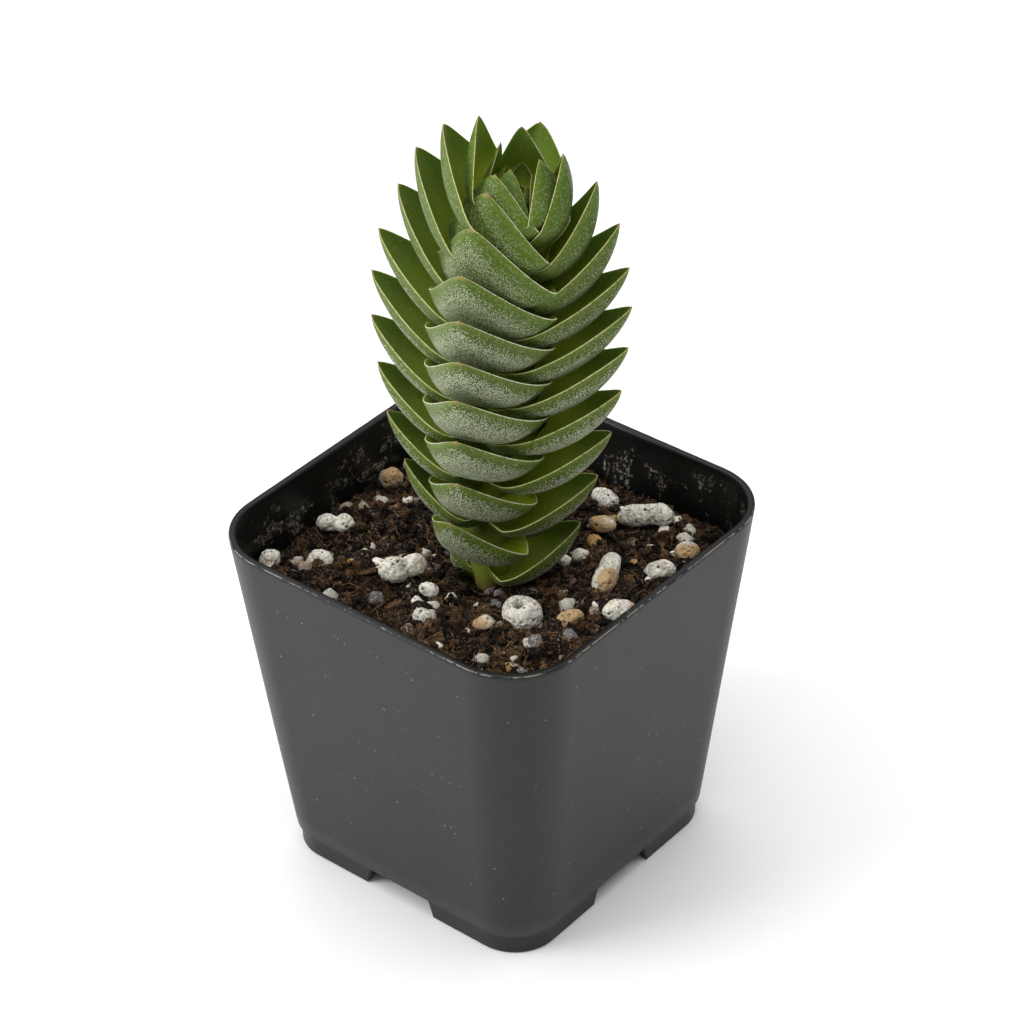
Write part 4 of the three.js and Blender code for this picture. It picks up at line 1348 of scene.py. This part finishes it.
class CrassulaAddStones(bpy.types.Operator):
    """Add the pumice stones that lie in the soil."""
    bl_idname = "crassula.add_stones"
    bl_label = "Add Pumice"

    def execute(self, context):
        settings = context.scene.crassula_stone
        materials = {"pumice": pumice_material(settings, "pumice", -0.06),
                     "pumice_ochre": pumice_material(settings, "pumice ochre", 0.16)}
        tree = stone_tree()
        for count, (node, (low, high)) in enumerate(zip(STONES, STONE_BOXES)):
            values = {"Roughness": settings.rough, "Pits": settings.pit, "Seed": float(count) * 5.3,
                      "Tint": (count * 0.37) % 1.0, "Material": materials[STONE_SLOT[node]]}
            for name, (stone, spot, radius) in (("Hole", STONE_HOLE), ("Stain", STONE_STAIN)):
                marked = node == stone
                values[name] = spot if marked else tuple((low + high) / 2)
                values[f"{name} Radius"] = radius if marked else 0.0
            piece = new_piece(f"{node}_stone", merged_copy(node))
            run_tree(piece, tree, values)
            settle(piece, STONE_SLOT[node], node)
        return {"FINISHED"}


# Stage

class CrassulaAddStage(bpy.types.Operator):
    """Add the floor, the soft studio light and the camera."""
    bl_idname = "crassula.add_stage"
    bl_label = "Add Stage"

    def execute(self, context):
        settings = context.scene.crassula_stage
        half = 4.0
        corners = [(-half, -half, 0), (half, -half, 0), (half, half, 0), (-half, half, 0)]
        floor = new_piece("floor", mesh_from("floor", corners, [(0, 1, 2, 3)]))
        floor.data.materials.append(floor_material(settings))

        world = bpy.data.worlds.new("studio")
        world.use_nodes = True
        background = world.node_tree.nodes["Background"]
        background.inputs["Color"].default_value = (1, 1, 1, 1)
        background.inputs["Strength"].default_value = settings.world
        context.scene.world = world

        middle = Vector((0, 0, 0.05))
        lights = [("left box", (-0.6, -0.8, 0.5), 0.6, settings.left),
                  ("right box", (0.8, 0.6, 0.45), 0.6, settings.right),
                  ("top box", (-0.1, 0, 0.9), 1.6, settings.top)]
        for name, spot, size, power in lights:
            light = bpy.data.lights.new(name, "AREA")
            light.shape, light.size, light.energy = "SQUARE", size, power
            lamp = bpy.data.objects.new(name, light)
            lamp.location = spot
            lamp.rotation_euler = (middle - Vector(spot)).to_track_quat("-Z", "Y").to_euler()
            context.scene.collection.objects.link(lamp)

        camera = bpy.data.objects.new("camera", bpy.data.cameras.new("camera"))
        camera.data.lens, camera.data.sensor_width = CAMERA_LENS, 36.0
        camera.data.clip_start, camera.data.clip_end = 0.01, 20.0
        up = CAMERA_RIGHT.cross(CAMERA_TOWARDS)
        turn = Matrix((CAMERA_RIGHT, up, -CAMERA_TOWARDS)).transposed()
        camera.matrix_world = Matrix.Translation(CAMERA_PLACE) @ turn.to_4x4()
        context.scene.collection.objects.link(camera)
        context.scene.camera = camera
        context.scene.view_settings.view_transform = "Standard"
        return {"FINISHED"}


OPERATORS = (CrassulaAddPot, CrassulaAddSoil, CrassulaAddStones, CrassulaAddStem, CrassulaAddLeaves,
             CrassulaAddStage)
SETTINGS = {"crassula_leaf": CrassulaLeafSettings, "crassula_pot": CrassulaPotSettings,
            "crassula_soil": CrassulaSoilSettings, "crassula_stone": CrassulaStoneSettings,
            "crassula_stage": CrassulaStageSettings}


class CrassulaPanel(bpy.types.Panel):
    """Buttons and settings for the potted crassula."""
    bl_label = "Potted Crassula"
    bl_idname = "VIEW3D_PT_crassula"
    bl_space_type = "VIEW_3D"
    bl_region_type = "UI"
    bl_category = "Crassula"

    def draw(self, context):
        for operator in OPERATORS:
            self.layout.operator(operator.bl_idname)
        for name, group in SETTINGS.items():
            box = self.layout.box()
            box.label(text=group.__doc__.rstrip("."))
            for setting in group.__annotations__:
                box.prop(getattr(context.scene, name), setting)


def register():
    for group in SETTINGS.values():
        bpy.utils.register_class(group)
    for name, group in SETTINGS.items():
        setattr(bpy.types.Scene, name, PointerProperty(type=group))
    for kind in (*OPERATORS, CrassulaPanel):
        bpy.utils.register_class(kind)


def unregister():
    for kind in reversed((*OPERATORS, CrassulaPanel)):
        bpy.utils.unregister_class(kind)
    for name, group in SETTINGS.items():
        delattr(bpy.types.Scene, name)
        bpy.utils.unregister_class(group)


def main():
    register()
    for operator in OPERATORS:
        group, name = operator.bl_idname.split(".")
        getattr(getattr(bpy.ops, group), name)()
    bpy.context.view_layer.update()


if __name__ == "__main__":
    main()
